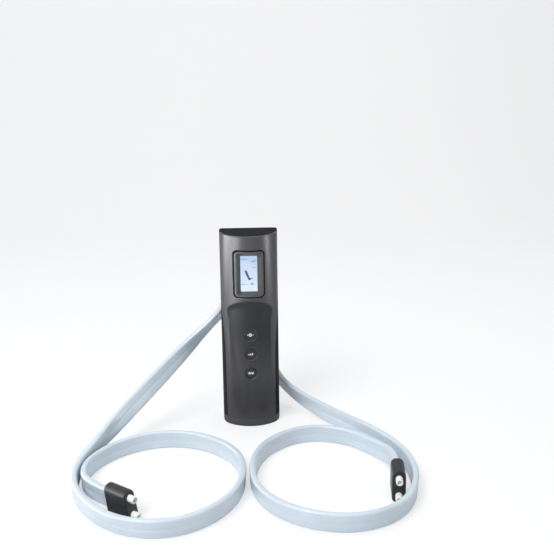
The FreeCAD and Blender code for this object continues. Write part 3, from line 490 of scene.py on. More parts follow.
@dataclass(frozen=True)
class Moulded:
    """Moulded plastic or rubber: spark-eroded grain, faint flow marks, worn and painted-glint
    edges.
    """

    name: str
    tint: Tint
    rough: float = 0.5
    grain: float = 3000
    depth: float = 0.00004
    flow: float = 0.12
    flow_lift: float = 3
    metal: float = 0.0
    specular: float = 0.5
    # edges are lightened by rubbed wear and a painted glint
    rubbed_and_glint: float = 0.25
    rubbed_glint_lift: float = 14

    def material(self) -> bpy.types.Material:
        """The finish as a node material.

        Returns:
            The material.
        """
        p = Pattern(self.name)
        place = p.place()
        fine = p.noise(place, self.grain, 2, 0.6)
        flow = p.spread(p.noise(place, 45, 4))
        body = p.blend(flow, shade(self.tint, 1 - self.flow),
                       shade(self.tint, 1 + self.flow, self.flow_lift))
        # lighter edges: part rubbed wear, part painted glint
        edge = shade(self.tint, 1 + self.rubbed_and_glint, self.rubbed_and_glint * self.rubbed_glint_lift)
        return p.surface(
            Base_Color=p.blend(p.wear_and_glint_edges(), body, edge),
            Roughness=p.spread(fine, 0.25, 0.75, self.rough - 0.06, self.rough + 0.07),
            Metallic=self.metal, Specular_IOR_Level=self.specular,
            Normal=p.bump(fine, 0.35, self.depth))


@dataclass(frozen=True)
class CoverPaint:
    """Satin gunmetal lacquer; the thumb recess is darker: a rougher matte field plus painted
    shade.

    Towards the foot the colour is darkened by painted shade, which drifts a little.
    """

    name: str = "gunmetal_lacquer"
    tint: Tint = (94, 93, 95)
    # the recess field's colour: a rougher matte finish darkened further by painted shade
    recess: Tint = (66, 67, 67)
    # painted shade: these two colours darken the lacquer at the foot, fading out up to the height
    # below
    foot_painted_shade_dark: Tint = (190, 189, 191)
    foot_painted_shade_light: Tint = (199, 198, 200)
    painted_shade_top: float = 0.2
    rough: float = 0.37
    recess_rougher: float = 0.2

    def material(self) -> bpy.types.Material:
        """The finish as a node material.

        Returns:
            The material.
        """
        p = Pattern(self.name)
        place = p.place()
        flake = p.noise(place, 5200, 2, 0.7)
        grain = p.noise(place, 2600, 2, 0.6)
        drift = p.noise(p.place((1, 1, 0.35)), 38, 5)
        sunk = p.attribute("recess")
        lacquer = p.blend(p.spread(flake), shade(self.tint, 0.93), shade(self.tint, 1.05))
        # recess field: matte grain, darkened further by painted shade
        matte_and_shade = p.blend(p.spread(grain), shade(self.recess, 0.92), shade(self.recess, 1.06))
        foot = p.blend(p.spread(drift, 0.35, 0.65), self.foot_painted_shade_dark, self.foot_painted_shade_light)
        # painted shade: the lacquer is multiplied darker towards the foot
        painted_foot_shade = p.blend(p.spread(p.height(), 0, self.painted_shade_top), foot, WHITE)
        body = p.blend(1, p.blend(sunk, lacquer, matte_and_shade), painted_foot_shade, "MULTIPLY")
        return p.surface(
            # lighter outer edges: part worn lacquer, part painted glint
            Base_Color=p.blend(p.wear_and_glint_edges(), body, shade(self.tint, 1.1)),
            Roughness=p.spread(sunk, 0, 1, self.rough, self.rough + self.recess_rougher),
            Metallic=0.6, Specular_Tint=(0.5, 0.5, 0.51, 1),
            Normal=p.bump(grain, 0.3, 0.00003))


@dataclass(frozen=True)
class HoseVinyl:
    """Satin pale blue-grey vinyl with drawn lines along it and a slight glow in thin parts."""

    name: str = "hose_vinyl_gloss"
    tint: Tint = (209, 221, 230)
    shade: Tint = (187, 201, 212)

    def material(self) -> bpy.types.Material:
        """The finish as a node material.

        Returns:
            The material.
        """
        p = Pattern(self.name)
        drawn = p.noise(p.place((0.6, 46, 1), uv=True), 3, 5, 0.6)
        cloud = p.noise(p.place(), 30, 4)
        base = p.blend(p.spread(drawn), self.tint, shade(self.tint, 0.97))
        return p.surface(
            Base_Color=p.blend(p.spread(cloud, 0.35, 0.75, 0, 0.5), base, self.shade),
            Roughness=p.spread(drawn, 0.3, 0.7, 0.3, 0.4),
            Subsurface_Weight=0.12, Subsurface_Radius=(0.7, 0.85, 1.0), Subsurface_Scale=0.003,
            Coat_Weight=0.35, Coat_Roughness=0.27,
            Normal=p.bump(drawn, 0.12, 0.0002))


@dataclass(frozen=True)
class ScreenGlow:
    """The lit screen: cool pale blue at its head, nearly white at its foot, with fine cells."""

    name: str = "screen_glow"
    head: Tint = (192, 212, 245)
    foot: Tint = (232, 244, 252)
    foot_height: float = 0.153
    head_height: float = 0.192
    strength: float = 0.97

    def material(self) -> bpy.types.Material:
        """The finish as a node material.

        Returns:
            The material.
        """
        p = Pattern(self.name)
        cloud = p.noise(p.place(), 60, 3)
        cells = p.noise(p.place(), 4200, 1)
        rise = p.spread(p.height(), self.foot_height, self.head_height)
        dull = p.blend(p.spread(cloud, 0.35, 0.65), (246, 247, 250), WHITE)
        return p.surface(
            Emission_Color=p.blend(1, p.blend(rise, self.foot, self.head), dull, "MULTIPLY"),
            Base_Color=p.blend(cloud, (26, 28, 32), (34, 36, 40)),
            Emission_Strength=self.strength,
            Roughness=p.spread(cells, 0.3, 0.7, 0.3, 0.45))


@dataclass(frozen=True)
class ClearPlastic:
    """The thin clear window over the screen."""

    name: str = "clear_window"

    def material(self) -> bpy.types.Material:
        """The finish as a node material.

        Returns:
            The material.
        """
        p = Pattern(self.name)
        haze = p.noise(p.place(), 900, 2)
        return p.surface(Base_Color=linear(WHITE), Transmission_Weight=1, IOR=1.2,
                         Roughness=p.spread(haze, 0.3, 0.7, 0.02, 0.05))


@dataclass(frozen=True)
class Metal:
    """Turned, plated or drawn metal with fine streaks across its axis."""

    name: str
    tint: Tint
    rough: float = 0.3

    def material(self) -> bpy.types.Material:
        """The finish as a node material.

        Returns:
            The material.
        """
        p = Pattern(self.name)
        lines = p.noise(p.place((1, 1, 14)), 160, 4, 0.6)
        return p.surface(
            Base_Color=p.blend(p.spread(lines), shade(self.tint, 0.85), self.tint),
            Roughness=p.spread(lines, 0.3, 0.7, self.rough - 0.07, self.rough + 0.1),
            Metallic=1, Normal=p.bump(lines, 0.15, 0.00003))


@dataclass(frozen=True)
class Board:
    """Solder-masked circuit board with copper tracks under the mask."""

    name: str = "board_mask"
    tint: Tint = (26, 84, 52)
    track: Tint = (44, 112, 72)

    def material(self) -> bpy.types.Material:
        """The finish as a node material.

        Returns:
            The material.
        """
        p = Pattern(self.name)
        tracks = p.node("ShaderNodeTexBrick", in_Vector=p.place((1, 0, 1)), in_Scale=180.0,
                        in_Mortar_Size=0.09, in_Bias=0.0).outputs["Fac"]
        return p.surface(
            Base_Color=p.blend(tracks, self.tint, self.track),
            Roughness=p.spread(p.noise(p.place(), 500, 3), 0.3, 0.7, 0.28, 0.42),
            Normal=p.bump(tracks, 0.2, 0.0001))


def dress(piece: Piece, material: bpy.types.Material) -> Piece:
    """Gives every face of a piece one material.

    Args:
        piece: a mesh object.
        material: the material, which fills each of the piece's slots.

    Returns:
        The same piece.
    """
    if piece.data.materials:
        for number in range(len(piece.data.materials)):
            piece.data.materials[number] = material
    else:
        piece.data.materials.append(material)
    return piece


class Finishes:
    """Every material of the pump, made once."""

    def __init__(self) -> None:
        """Makes the materials."""
        self.cover = CoverPaint().material()
        self.black = Moulded("rear_shell_black", (24, 25, 28), 0.72, flow=0.1,
                             specular=0.12).material()
        self.cap = Moulded("cap_black", (34, 36, 37), 0.8, depth=0.00006, flow=0.08,
                           specular=0.05).material()
        self.base = Moulded("base_grey", (62, 62, 64), 0.55, flow=0.06,
                            specular=0.25).material()
        self.bezel = Moulded("bezel_grey", (82, 84, 84), 0.4, metal=0.2, flow=0.04).material()
        self.key = Moulded("key_dark", (46, 47, 49), 0.5, flow=0.05, rubbed_and_glint=0.1,
                           specular=0.3).material()
        self.mark = Moulded("mark_pale", (240, 242, 244), 0.5, flow=0.03, rubbed_and_glint=0).material()
        # near-black strip in the display frame's gap: painted shadow
        self.gap_shadow = Moulded("gap_shadow_black", (12, 12, 13), 0.9, flow=0.1, rubbed_and_glint=0,
                            specular=0.02).material()
        self.ink = Moulded("screen_ink_blue", (84, 100, 158), 0.5, flow=0.05,
                           rubbed_and_glint=0).material()
        self.faint_ink = Moulded("screen_ink_faint", (150, 164, 190), 0.5, flow=0.05,
                                 rubbed_and_glint=0).material()
        self.boot = Moulded("relief_rubber", (36, 37, 40), 0.62, grain=2200,
                            flow=0.1).material()
        self.vinyl = HoseVinyl().material()
        self.plug = Moulded("plug_black", (27, 25, 26), 0.42, grain=2400,
                            specular=0.55).material()
        self.nozzle = Moulded("nozzle_white", (240, 239, 233), 0.34, flow=0.02,
                              rubbed_and_glint=0).material()
        self.brass = Metal("contact_brass", (214, 170, 96), 0.28).material()
        self.steel = Metal("screw_steel", (188, 188, 192)).material()
        self.can = Metal("motor_can_steel", (172, 174, 178), 0.34).material()
        self.iron = Metal("valve_iron", (140, 141, 146), 0.38).material()
        self.board = Board().material()
        self.chip = Moulded("chip_epoxy", (30, 30, 32), 0.55, flow=0.1).material()
        self.silicone = Moulded("tube_silicone", (206, 206, 198), 0.4, flow=0.05,
                                rubbed_and_glint=0).material()
        self.pump = Moulded("pump_body_ivory", (196, 192, 178), 0.45, flow=0.06).material()
        self.soft = Moulded("soft_rubber_grey", (58, 60, 62), 0.7).material()
        self.acetal = Moulded("crank_acetal", (226, 224, 214), 0.35, flow=0.03).material()
        self.guide = Moulded("light_guide_milk", (236, 238, 240), 0.3, flow=0.02,
                             rubbed_and_glint=0).material()
        self.screen = ScreenGlow().material()
        self.window = ClearPlastic().material()


# ---------------------------------------------------------------- case


@dataclass(frozen=True)
class CaseForm:
    """The case's D-shaped plan, fuller towards the foot, and the seam between its two shells."""

    half_foot: float = 31.7
    half_head: float = 31.05
    bow_foot: float = 39.9
    bow_head: float = 39.0
    wide_foot: float = 41.0
    wide_head: float = 32.8
    square: float = 14.0
    centre: float = 17.0
    back: float = 22.0
    corner: float = 4.0
    height: float = 213.8
    seam_foot: float = -13.2
    seam_slope: float = 0.035
    seam_back: float = 12.5
    seam_turn: Pair = (80.0, 100.0)

    def between(self, foot: float, head: float, z: np.ndarray) -> np.ndarray:
        """A size that goes straight from its foot value to its head value."""
        return foot + (head - foot) * np.asarray(z) / self.height

    def half(self, z: np.ndarray) -> np.ndarray:
        """Half the case's width at height z."""
        return self.between(self.half_foot, self.half_head, z)

    def widths(self, z: np.ndarray, shrink: float = 0.0) -> tuple[np.ndarray, np.ndarray]:
        """Half widths that shape the plan at height z.

        The bow is part of an ellipse of half width w(z), which falls straight from foot to head.
        The sides hold it to the case's half width through a power sum, whose own half width h
        solves h**-n = half(z)**-n - w**-n, so that the plan is exactly as wide as the case.

        Args:
            z: heights.
            shrink: how far inside the outer face.

        Returns:
            w and h.
        """
        wide = self.between(self.wide_foot, self.wide_head, z)
        n = self.square
        held = (self.half(z) ** -n - wide ** -n) ** (-1 / n)
        return wide - shrink, held - shrink

    def front(self, x: np.ndarray, z: np.ndarray, shrink: float = 0.0) -> np.ndarray:
        """How far forward the bow lies at x.

        y = centre - bow * sqrt((1 - (|x| / h)**n)**(2 / n) - (x / w)**2).

        Args:
            x: places across the case.
            z: heights.
            shrink: how far inside the outer face.

        Returns:
            The y of the curve.
        """
        wide, held = self.widths(z, shrink)
        n = self.square
        bow = self.between(self.bow_foot, self.bow_head, z) - shrink
        side = np.clip(1 - (np.abs(x) / held) ** n, 0, None) ** (2 / n)
        return self.centre - bow * np.sqrt(np.clip(side - (x / wide) ** 2, 0, None))

    def reach(self, a: np.ndarray, z: np.ndarray) -> np.ndarray:
        """Distance from the plan's centre to the bow, at angle a either side of straight ahead.

        r = ((sin a / h)**n + ((sin a / w)**2 + (cos a / bow)**2)**(n / 2))**(-1 / n).

        Args:
            a: angles from straight ahead.
            z: heights.

        Returns:
            The distances.
        """
        wide, held = self.widths(z)
        n = self.square
        bow = self.between(self.bow_foot, self.bow_head, z)
        oval = (np.sin(a) / wide) ** 2 + (np.cos(a) / bow) ** 2
        return ((np.abs(np.sin(a)) / held) ** n + oval ** (n / 2)) ** (-1 / n)

    def seam(self, z: np.ndarray) -> np.ndarray:
        """The y of the line where the shells meet: it runs back slowly, faster near the head."""
        return self.seam_foot + self.seam_slope * z + self.seam_back * ramp(z, *self.seam_turn)

    def seam_angle(self, z: np.ndarray) -> np.ndarray:
        """The angle at which the bow crosses the seam, by halving the range in which it lies.

        Args:
            z: heights.

        Returns:
            Angles from straight ahead.
        """
        halvings = 30
        low, high = np.zeros_like(z), np.full_like(z, np.pi / 2)
        for _ in range(halvings):
            middle = (low + high) / 2
            ahead = self.centre - self.reach(middle, z) * np.cos(middle) < self.seam(z)
            low, high = np.where(ahead, middle, low), np.where(ahead, high, middle)
        return low

    def bow_points(self, a: np.ndarray, z: np.ndarray) -> tuple[np.ndarray, np.ndarray]:
        """Points (r sin a, centre - r cos a) of the bow at angles a, to the right above 0."""
        r = self.reach(a, z)
        return r * np.sin(a), self.centre - r * np.cos(a)

    def rear(self, flat: int, z: float = 0.0) -> tuple[np.ndarray, np.ndarray]:
        """The plan behind the bow, from the right side round the back to the left side.

        Straight sides, quarter circles at the corners and a flat back.

        Args:
            flat: points across the back.
            z: the height.

        Returns:
            Points and outward directions, each with two columns.
        """
        turn = quarter_turn(9)
        place = np.array([float(self.half(z)) - self.corner, self.back - self.corner])
        right_way = np.stack([np.cos(turn), np.sin(turn)], axis=1)
        left_way = right_way[::-1] * (-1, 1)
        across = np.linspace(place[0], -place[0], flat)[1:-1]
        back = np.stack([across, np.full_like(across, self.back)], axis=1)
        points = np.concatenate([place + self.corner * right_way, back,
                                 place * (-1, 1) + self.corner * left_way])
        ways = np.concatenate([right_way, np.tile([0.0, 1.0], (len(back), 1)), left_way])
        return points, ways

    def outline(self, z: float) -> tuple[np.ndarray, np.ndarray]:
        """The whole plan at one height as a loop, with its outward directions.

        Args:
            z: the height.

        Returns:
            Points and directions, each with two columns.
        """
        front, flat = 97, 26
        a = np.linspace(-np.pi / 2, np.pi / 2, front)
        bow = np.stack(self.bow_points(a, np.full(front, z)), axis=1)
        way = np.gradient(bow, axis=0)
        out = np.stack([way[:, 1], -way[:, 0]], axis=1)
        out /= np.linalg.norm(out, axis=1)[:, None]
        out[0], out[-1] = (-1, 0), (1, 0)
        rear, rear_out = self.rear(flat, z)
        return np.concatenate([bow, rear]), np.concatenate([out, rear_out])


@dataclass(frozen=True)
class Opening:
    """A round-cornered opening in a wall, as a distance from its outline."""

    x: float
    z: float
    half_x: float
    half_z: float
    radius: float

    @classmethod
    def circle(cls, x: float, z: float, radius: float) -> "Opening":
        """A round opening."""
        return cls(x, z, radius, radius, radius)

    def distance(self, x: np.ndarray, z: np.ndarray) -> np.ndarray:
        """Distance outside the outline, less than 0 inside.

        With dx and dz the distances past the corner's centre, it is the length of (dx, dz) where
        both are positive, the larger of them elsewhere, less the corner's radius.

        Args:
            x: places across.
            z: heights.

        Returns:
            The distances.
        """
        dx = np.abs(x - self.x) - self.half_x + self.radius
        dz = np.abs(z - self.z) - self.half_z + self.radius
        return (np.hypot(np.maximum(dx, 0), np.maximum(dz, 0))
                + np.minimum(np.maximum(dx, dz), 0) - self.radius)

    def onto(self, x: np.ndarray, z: np.ndarray) -> tuple[np.ndarray, np.ndarray]:
        """Places carried straight onto the outline, down the slope of the distance.

        Args:
            x: places across.
            z: heights.

        Returns:
            The new places and heights.
        """
        rounds, step, least = 3, 1e-3, 0.25
        for _ in range(rounds):
            d = self.distance(x, z)
            gx = (self.distance(x + step, z) - self.distance(x - step, z)) / (2 * step)
            gz = (self.distance(x, z + step) - self.distance(x, z - step)) / (2 * step)
            size = np.maximum(gx * gx + gz * gz, least)
            x, z = x - d * gx / size, z - d * gz / size
        return x, z

    def cut(self, x: np.ndarray, z: np.ndarray, faces: np.ndarray,
            among: np.ndarray | bool = True) -> tuple[np.ndarray, np.ndarray, np.ndarray,
                                                      np.ndarray]:
        """Opens a grid here: faces whose middle is inside go, and their rim slides to the outline.

        Args:
            x: each point's place across.
            z: each point's height.
            faces: the grid's faces.
            among: which faces may be cut.

        Returns:
            The new x and z, which faces are gone, and the points on the rim.
        """
        gone = (self.distance(x[faces].mean(1), z[faces].mean(1)) < 0) & among
        rim = np.intersect1d(faces[gone], faces[~gone])
        x, z = x.copy(), z.copy()
        x[rim], z[rim] = self.onto(x[rim], z[rim])
        return x, z, gone, rim


@dataclass(frozen=True)
class Recess:
    """The shallow thumb recess round the keys. Each ramp is a height and the run from there."""

    form: CaseForm = field(default_factory=CaseForm)
    depth: float = 2.3
    half: float = 24.6
    arch: float = 13.6
    head: float = 144.0
    seam_rim: float = 0.8
    side_slope: float = 7.5
    arch_slope: float = 15.0
    foot_slope: float = 9.0
    # the field sizes and darkening place the dark field: a matte finish with painted shade
    field_half: float = 21.6
    field_flare: float = 2.2
    field_rim: float = 0.4
    field_blur: float = 1.2
    foot_blur: float = 3.5
    field_start: float = 0.3
    widening: Pair = (112.0, -90.0)
    creasing: Pair = (80.0, 45.0)
    flaring: Pair = (119.0, 13.0)
    darkening: Pair = (52.0, 62.0)
    sinking: Pair = (8.0, 30.0)

    def shares(self, x: np.ndarray, z: np.ndarray) -> tuple[np.ndarray, np.ndarray]:
        """How much of the recess's depth is reached, from 0 to 1, and where its dark field of
        matte finish and painted shade lies.

        The distance inside an outline with a low elliptic arch at its head, divided by a slope
        width that is greatest under the arch and grows towards the foot. Up high the slope starts
        at a crease, 1 - (1 - t)**2, and lower down it starts gently, as a smooth step of t. It
        fades out at the foot. The dark field starts at the arch, and at the sides where the slope
        ends; it fades out below the keys.

        Args:
            x: places across.
            z: heights.

        Returns:
            The share of the full depth, and the share of the dark field: matte finish and painted
            shade.
        """
        seam_x = self.form.bow_points(self.form.seam_angle(z), z)[0]
        outer = np.minimum(self.half, seam_x - self.seam_rim)
        rise = np.maximum(z - self.head + self.arch, 0) * outer / self.arch
        way = np.maximum(np.hypot(x, rise), 1e-6)
        slope = (self.side_slope + self.arch_slope * (rise / way) ** 2
                 + self.foot_slope * ramp(z, *self.widening))
        t = np.clip((outer - way) / slope, 0, 1)
        crisp = ramp(z, *self.creasing)
        depth = crisp * (1 - (1 - t) ** 2) + (1 - crisp) * smooth_step(t)
        edge = self.field_half + self.field_flare * ramp(z, *self.flaring)
        blur = self.field_blur + self.foot_blur * (1 - crisp)
        inside = edge - way * edge / np.maximum(outer, edge)
        dark = smooth_step(inside / blur + self.field_start)
        dark = np.where(way > edge + self.field_rim, 0, dark)
        return depth * ramp(z, *self.sinking), dark * ramp(z, *self.darkening)


@dataclass(frozen=True)
class Case:
    """The outer case: painted front cover, black rear shell, lid, foot and outlet housing."""

    form: CaseForm = field(default_factory=CaseForm)
    recess: Recess = field(default_factory=Recess)
    window: Opening = Opening(0, 172.8, 16.8, 25.7, 5.0)
    rows: int = 283
    foot: float = 8.15
    head: float = 213.4
    wall: float = 2.0
    rim_round: float = 1.3
    rim_reach: float = 0.998
    key_heights: tuple[float, ...] = (106.0, 84.0, 62.0)
    key_hole: float = 6.8
    seam_gap: float = 0.012  # radians, from the cover's edge to the shell's
    rim_behind: float = 0.4
    rim_run: float = 1.5
    back_skin: float = 0.1
    screw_x: float = 18.4
    screw_z: Pair = (36.0, 201.5)
    screw_mouth: float = 2.9
    screw_bore: float = 1.65
    screw_seat: float = 12.0
    well_half: float = 4.3
    well_end: float = 2.1
    inlet_z: float = 17.5
    inlet_radius: float = 5.0
    field_inset: float = 3.6
    lid_height: float = 3.0
    lid_gap: float = 0.1
    lid_round: float = 0.8
    lid_sunk: float = 0.25
    lid_inset: float = 1.5
    foot_height: float = 8.0
    foot_round: float = 0.7

    def cover(self) -> Piece:
        """The front cover: (height, angle) to the bow's point, sunk in the recess and cut through.

        Where the recess's share is s, y is the bow's own y moved s of the way to the y of a bow
        drawn in by the recess depth. Near the window and key holes the grid's points slide onto
        the outline. The last of the height is drawn in by a quarter circle.

        Returns:
            The walled cover.
        """
        columns = 121
        z = np.repeat(np.linspace(self.foot, self.head, self.rows)[:, None], columns, axis=1)
        angle = self.form.seam_angle(z[:, 0])[:, None] * np.linspace(-1, 1, columns)
        faces = Sheet.grid(self.rows, columns, False)
        x, y = (part.ravel() for part in self.form.bow_points(angle, z))
        z = z.ravel()
        keep, slid = np.ones(len(faces), bool), np.zeros(len(z), bool)
        key_holes = [Opening.circle(0, height, self.key_hole) for height in self.key_heights]
        for hole in [self.window, *key_holes]:
            x, z, gone, rim = hole.cut(x, z, faces)
            keep &= ~gone
            slid[rim] = True
        y = np.where(slid, self.form.front(x, z), y)
        share, dark = self.recess.shares(x, z)
        y = y + share * (self.form.front(x, z, self.recess.depth) - y)
        top = np.clip((z - (self.head - self.rim_round)) / self.rim_round, 0, 1)
        way = np.hypot(x, y - self.form.centre)
        drawn = self.rim_round * (1 - np.sqrt(1 - self.rim_reach * top * top)) / way
        x, y = x - drawn * x, y - drawn * (y - self.form.centre)
        piece, used = Sheet.trimmed("front_cover", np.stack([x, y, z], axis=1), faces[keep])
        # the recess attribute carries the dark field: a matte finish with painted shade
        sunk = piece.data.attributes.new("recess", "FLOAT", "POINT")
        sunk.data.foreach_set("value", dark[used].astype(np.float32))
        return self.walled(piece)

    def tub(self) -> Piece:
        """The rear shell: (height, place round the back) from seam to seam, with its openings.

        Each row is the bow from the seam to the side, the rear plan, and the bow's mirror image.

        Returns:
            The walled shell.
        """
        side, flat = 17, 75
        z = np.linspace(self.foot, self.form.height - self.lid_height - self.lid_gap, self.rows)
        limit = self.form.seam_angle(z)[:, None] + self.seam_gap
        angle = limit + (np.pi / 2 - limit) * np.linspace(0, 1, side)
        right = np.stack(self.form.bow_points(angle, np.repeat(z[:, None], side, axis=1)), axis=-1)
        rear = np.tile(self.form.rear(flat)[0], (self.rows, 1, 1))
        rear[..., 0] *= (self.form.half(z) / self.form.half_foot)[:, None]
        plan = np.concatenate([right, rear, right[:, ::-1] * (-1, 1)], axis=1)
        x, y = plan[..., 0].ravel(), plan[..., 1].ravel()
        z = np.repeat(z, plan.shape[1])
        faces = Sheet.grid(self.rows, plan.shape[1], False)
        behind = y[faces].min(1) > self.form.back - self.back_skin
        keep = np.ones(len(faces), bool)
        holes = [Opening.circle(way * self.screw_x, height, self.screw_mouth)
                 for way in (-1, 1) for height in self.screw_z]
        for hole in [*holes, Opening.circle(0, self.inlet_z, self.inlet_radius)]:
            x, z, gone, _ = hole.cut(x, z, faces, behind)
            keep &= ~gone
        return self.walled(Sheet.trimmed("rear_tub", np.stack([x, y, z], axis=1), faces[keep])[0])

    def walled(self, piece: Piece) -> Piece:
        """Gives an open skin the wall's thickness, inwards.

        Args:
            piece: the skin.

        Returns:
            The same piece.
        """
        solid = piece.modifiers.new("wall", "SOLIDIFY")
        solid.thickness = self.wall * MM
        solid.offset = -1
        return piece

    def wells(self) -> Piece:
        """The four deep screw wells behind the back's holes, each one turned profile.

        Returns:
            The wells as one piece.
        """
        mouth, bore, half = self.screw_mouth, self.screw_bore, self.well_half
        back, seat, end = self.form.back - self.back_skin, self.screw_seat, self.well_end
        profile = np.array([(mouth, back), (mouth, seat + 0.2), (bore, seat), (bore, end),
                            (half, end), (half, back - 1.7), (half - 1, back - 1.3),
                            (mouth + 0.1, back)])
        places = [(way * self.screw_x, height) for way in (-1, 1) for height in self.screw_z]
        pieces = [Sheet.turned(f"well_{number}", profile, Sheet.inwards(x, z), 36, loop=True)
                  for number, (x, z) in enumerate(places)]
        return Sheet.merged(pieces, "screw_wells")

    def plate(self, name: str, levels: np.ndarray, front_inset: float) -> Piece:
        """A lid or foot: the D plan at each (height, inset), inset further along the front.

        Args:
            name: the piece's name.
            levels: rows of height and inset.
            front_inset: how much further in the bow lies, inside the cover's rim.

        Returns:
            The closed piece.
        """
        middle = levels[:, 0].mean()
        points, ways = self.form.outline(middle)
        start = self.form.seam(middle) - self.rim_behind
        ahead = ramp(points[:, 1], start, -self.rim_run)[None, :, None]
        inset = levels[:, 1, None, None] + front_inset * ahead
        flat = points[None] - inset * ways[None]
        height = np.broadcast_to(levels[:, 0, None, None], flat.shape[:2] + (1,))
        return Sheet.stack(name, np.concatenate([flat, height], axis=2), sharp=40)

    def lid(self) -> Piece:
        """The flat black lid with a rounded edge and a shallow sunk field.

        Returns:
            The closed lid.
        """
        top, soft, floor = self.form.height, self.lid_round, self.form.height - self.lid_sunk
        low = top - self.lid_height
        edge = [(top - soft + soft * math.sin(a), soft - soft * math.cos(a))
                for a in quarter_turn(6)]
        levels = np.array([(low, 1.6), (low + 0.05, 0.25), (low + 0.3, 0.0), *edge, (top, 2.2),
                           (floor, 2.5), (floor, self.field_inset)])
        return self.plate("lid", levels, self.lid_inset)

    def base(self) -> Piece:
        """The foot: flush with the cover, with a rounded lower edge and a shallow hollow below.

        Returns:
            The closed foot.
        """
        soft, top = self.foot_round, self.foot_height
        edge = [(soft - soft * math.cos(a), soft - soft * math.sin(a)) for a in quarter_turn(6)]
        levels = np.array([(0.35, self.field_inset), (0.3, 3.0), (0.0, 2.8), *edge,
                           (top - 0.15, 0.0), (top, 0.15), (top, self.field_inset)])
        return self.plate("foot", levels, 0.0)

    def build(self, finish: Finishes) -> None:
        """Makes and dresses every outer piece of the case.

        Args:
            finish: the pump's materials.
        """
        cover = dress(self.cover(), finish.cover)
        lid = dress(self.lid(), finish.cap)
        base = dress(self.base(), finish.base)
        rear = dress(self.tub(), finish.black)
        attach(dress(self.wells(), finish.black), "case")
        housing = dress(Sheet.softened("outlet_housing", "outlet_box", 0.6), finish.black)
        inlet = dress(Sheet.softened("dc_inlet", "power_socket", 0.15), finish.chip)
        for piece, node, slot in ((cover, "front_shell", "front_cover"),
                                  (lid, "top_cap", "cap_plastic"),
                                  (base, "base_cap", "base_plastic"),
                                  (rear, "rear_shell", "rear_cover"),
                                  (housing, "outlet_housing", "rear_cover"),
                                  (inlet, "dc_inlet", "rear_cover")):
            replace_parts(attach(piece, "case"), node)
            log.info("case piece %s", piece.name)


# ---------------------------------------------------------------- display


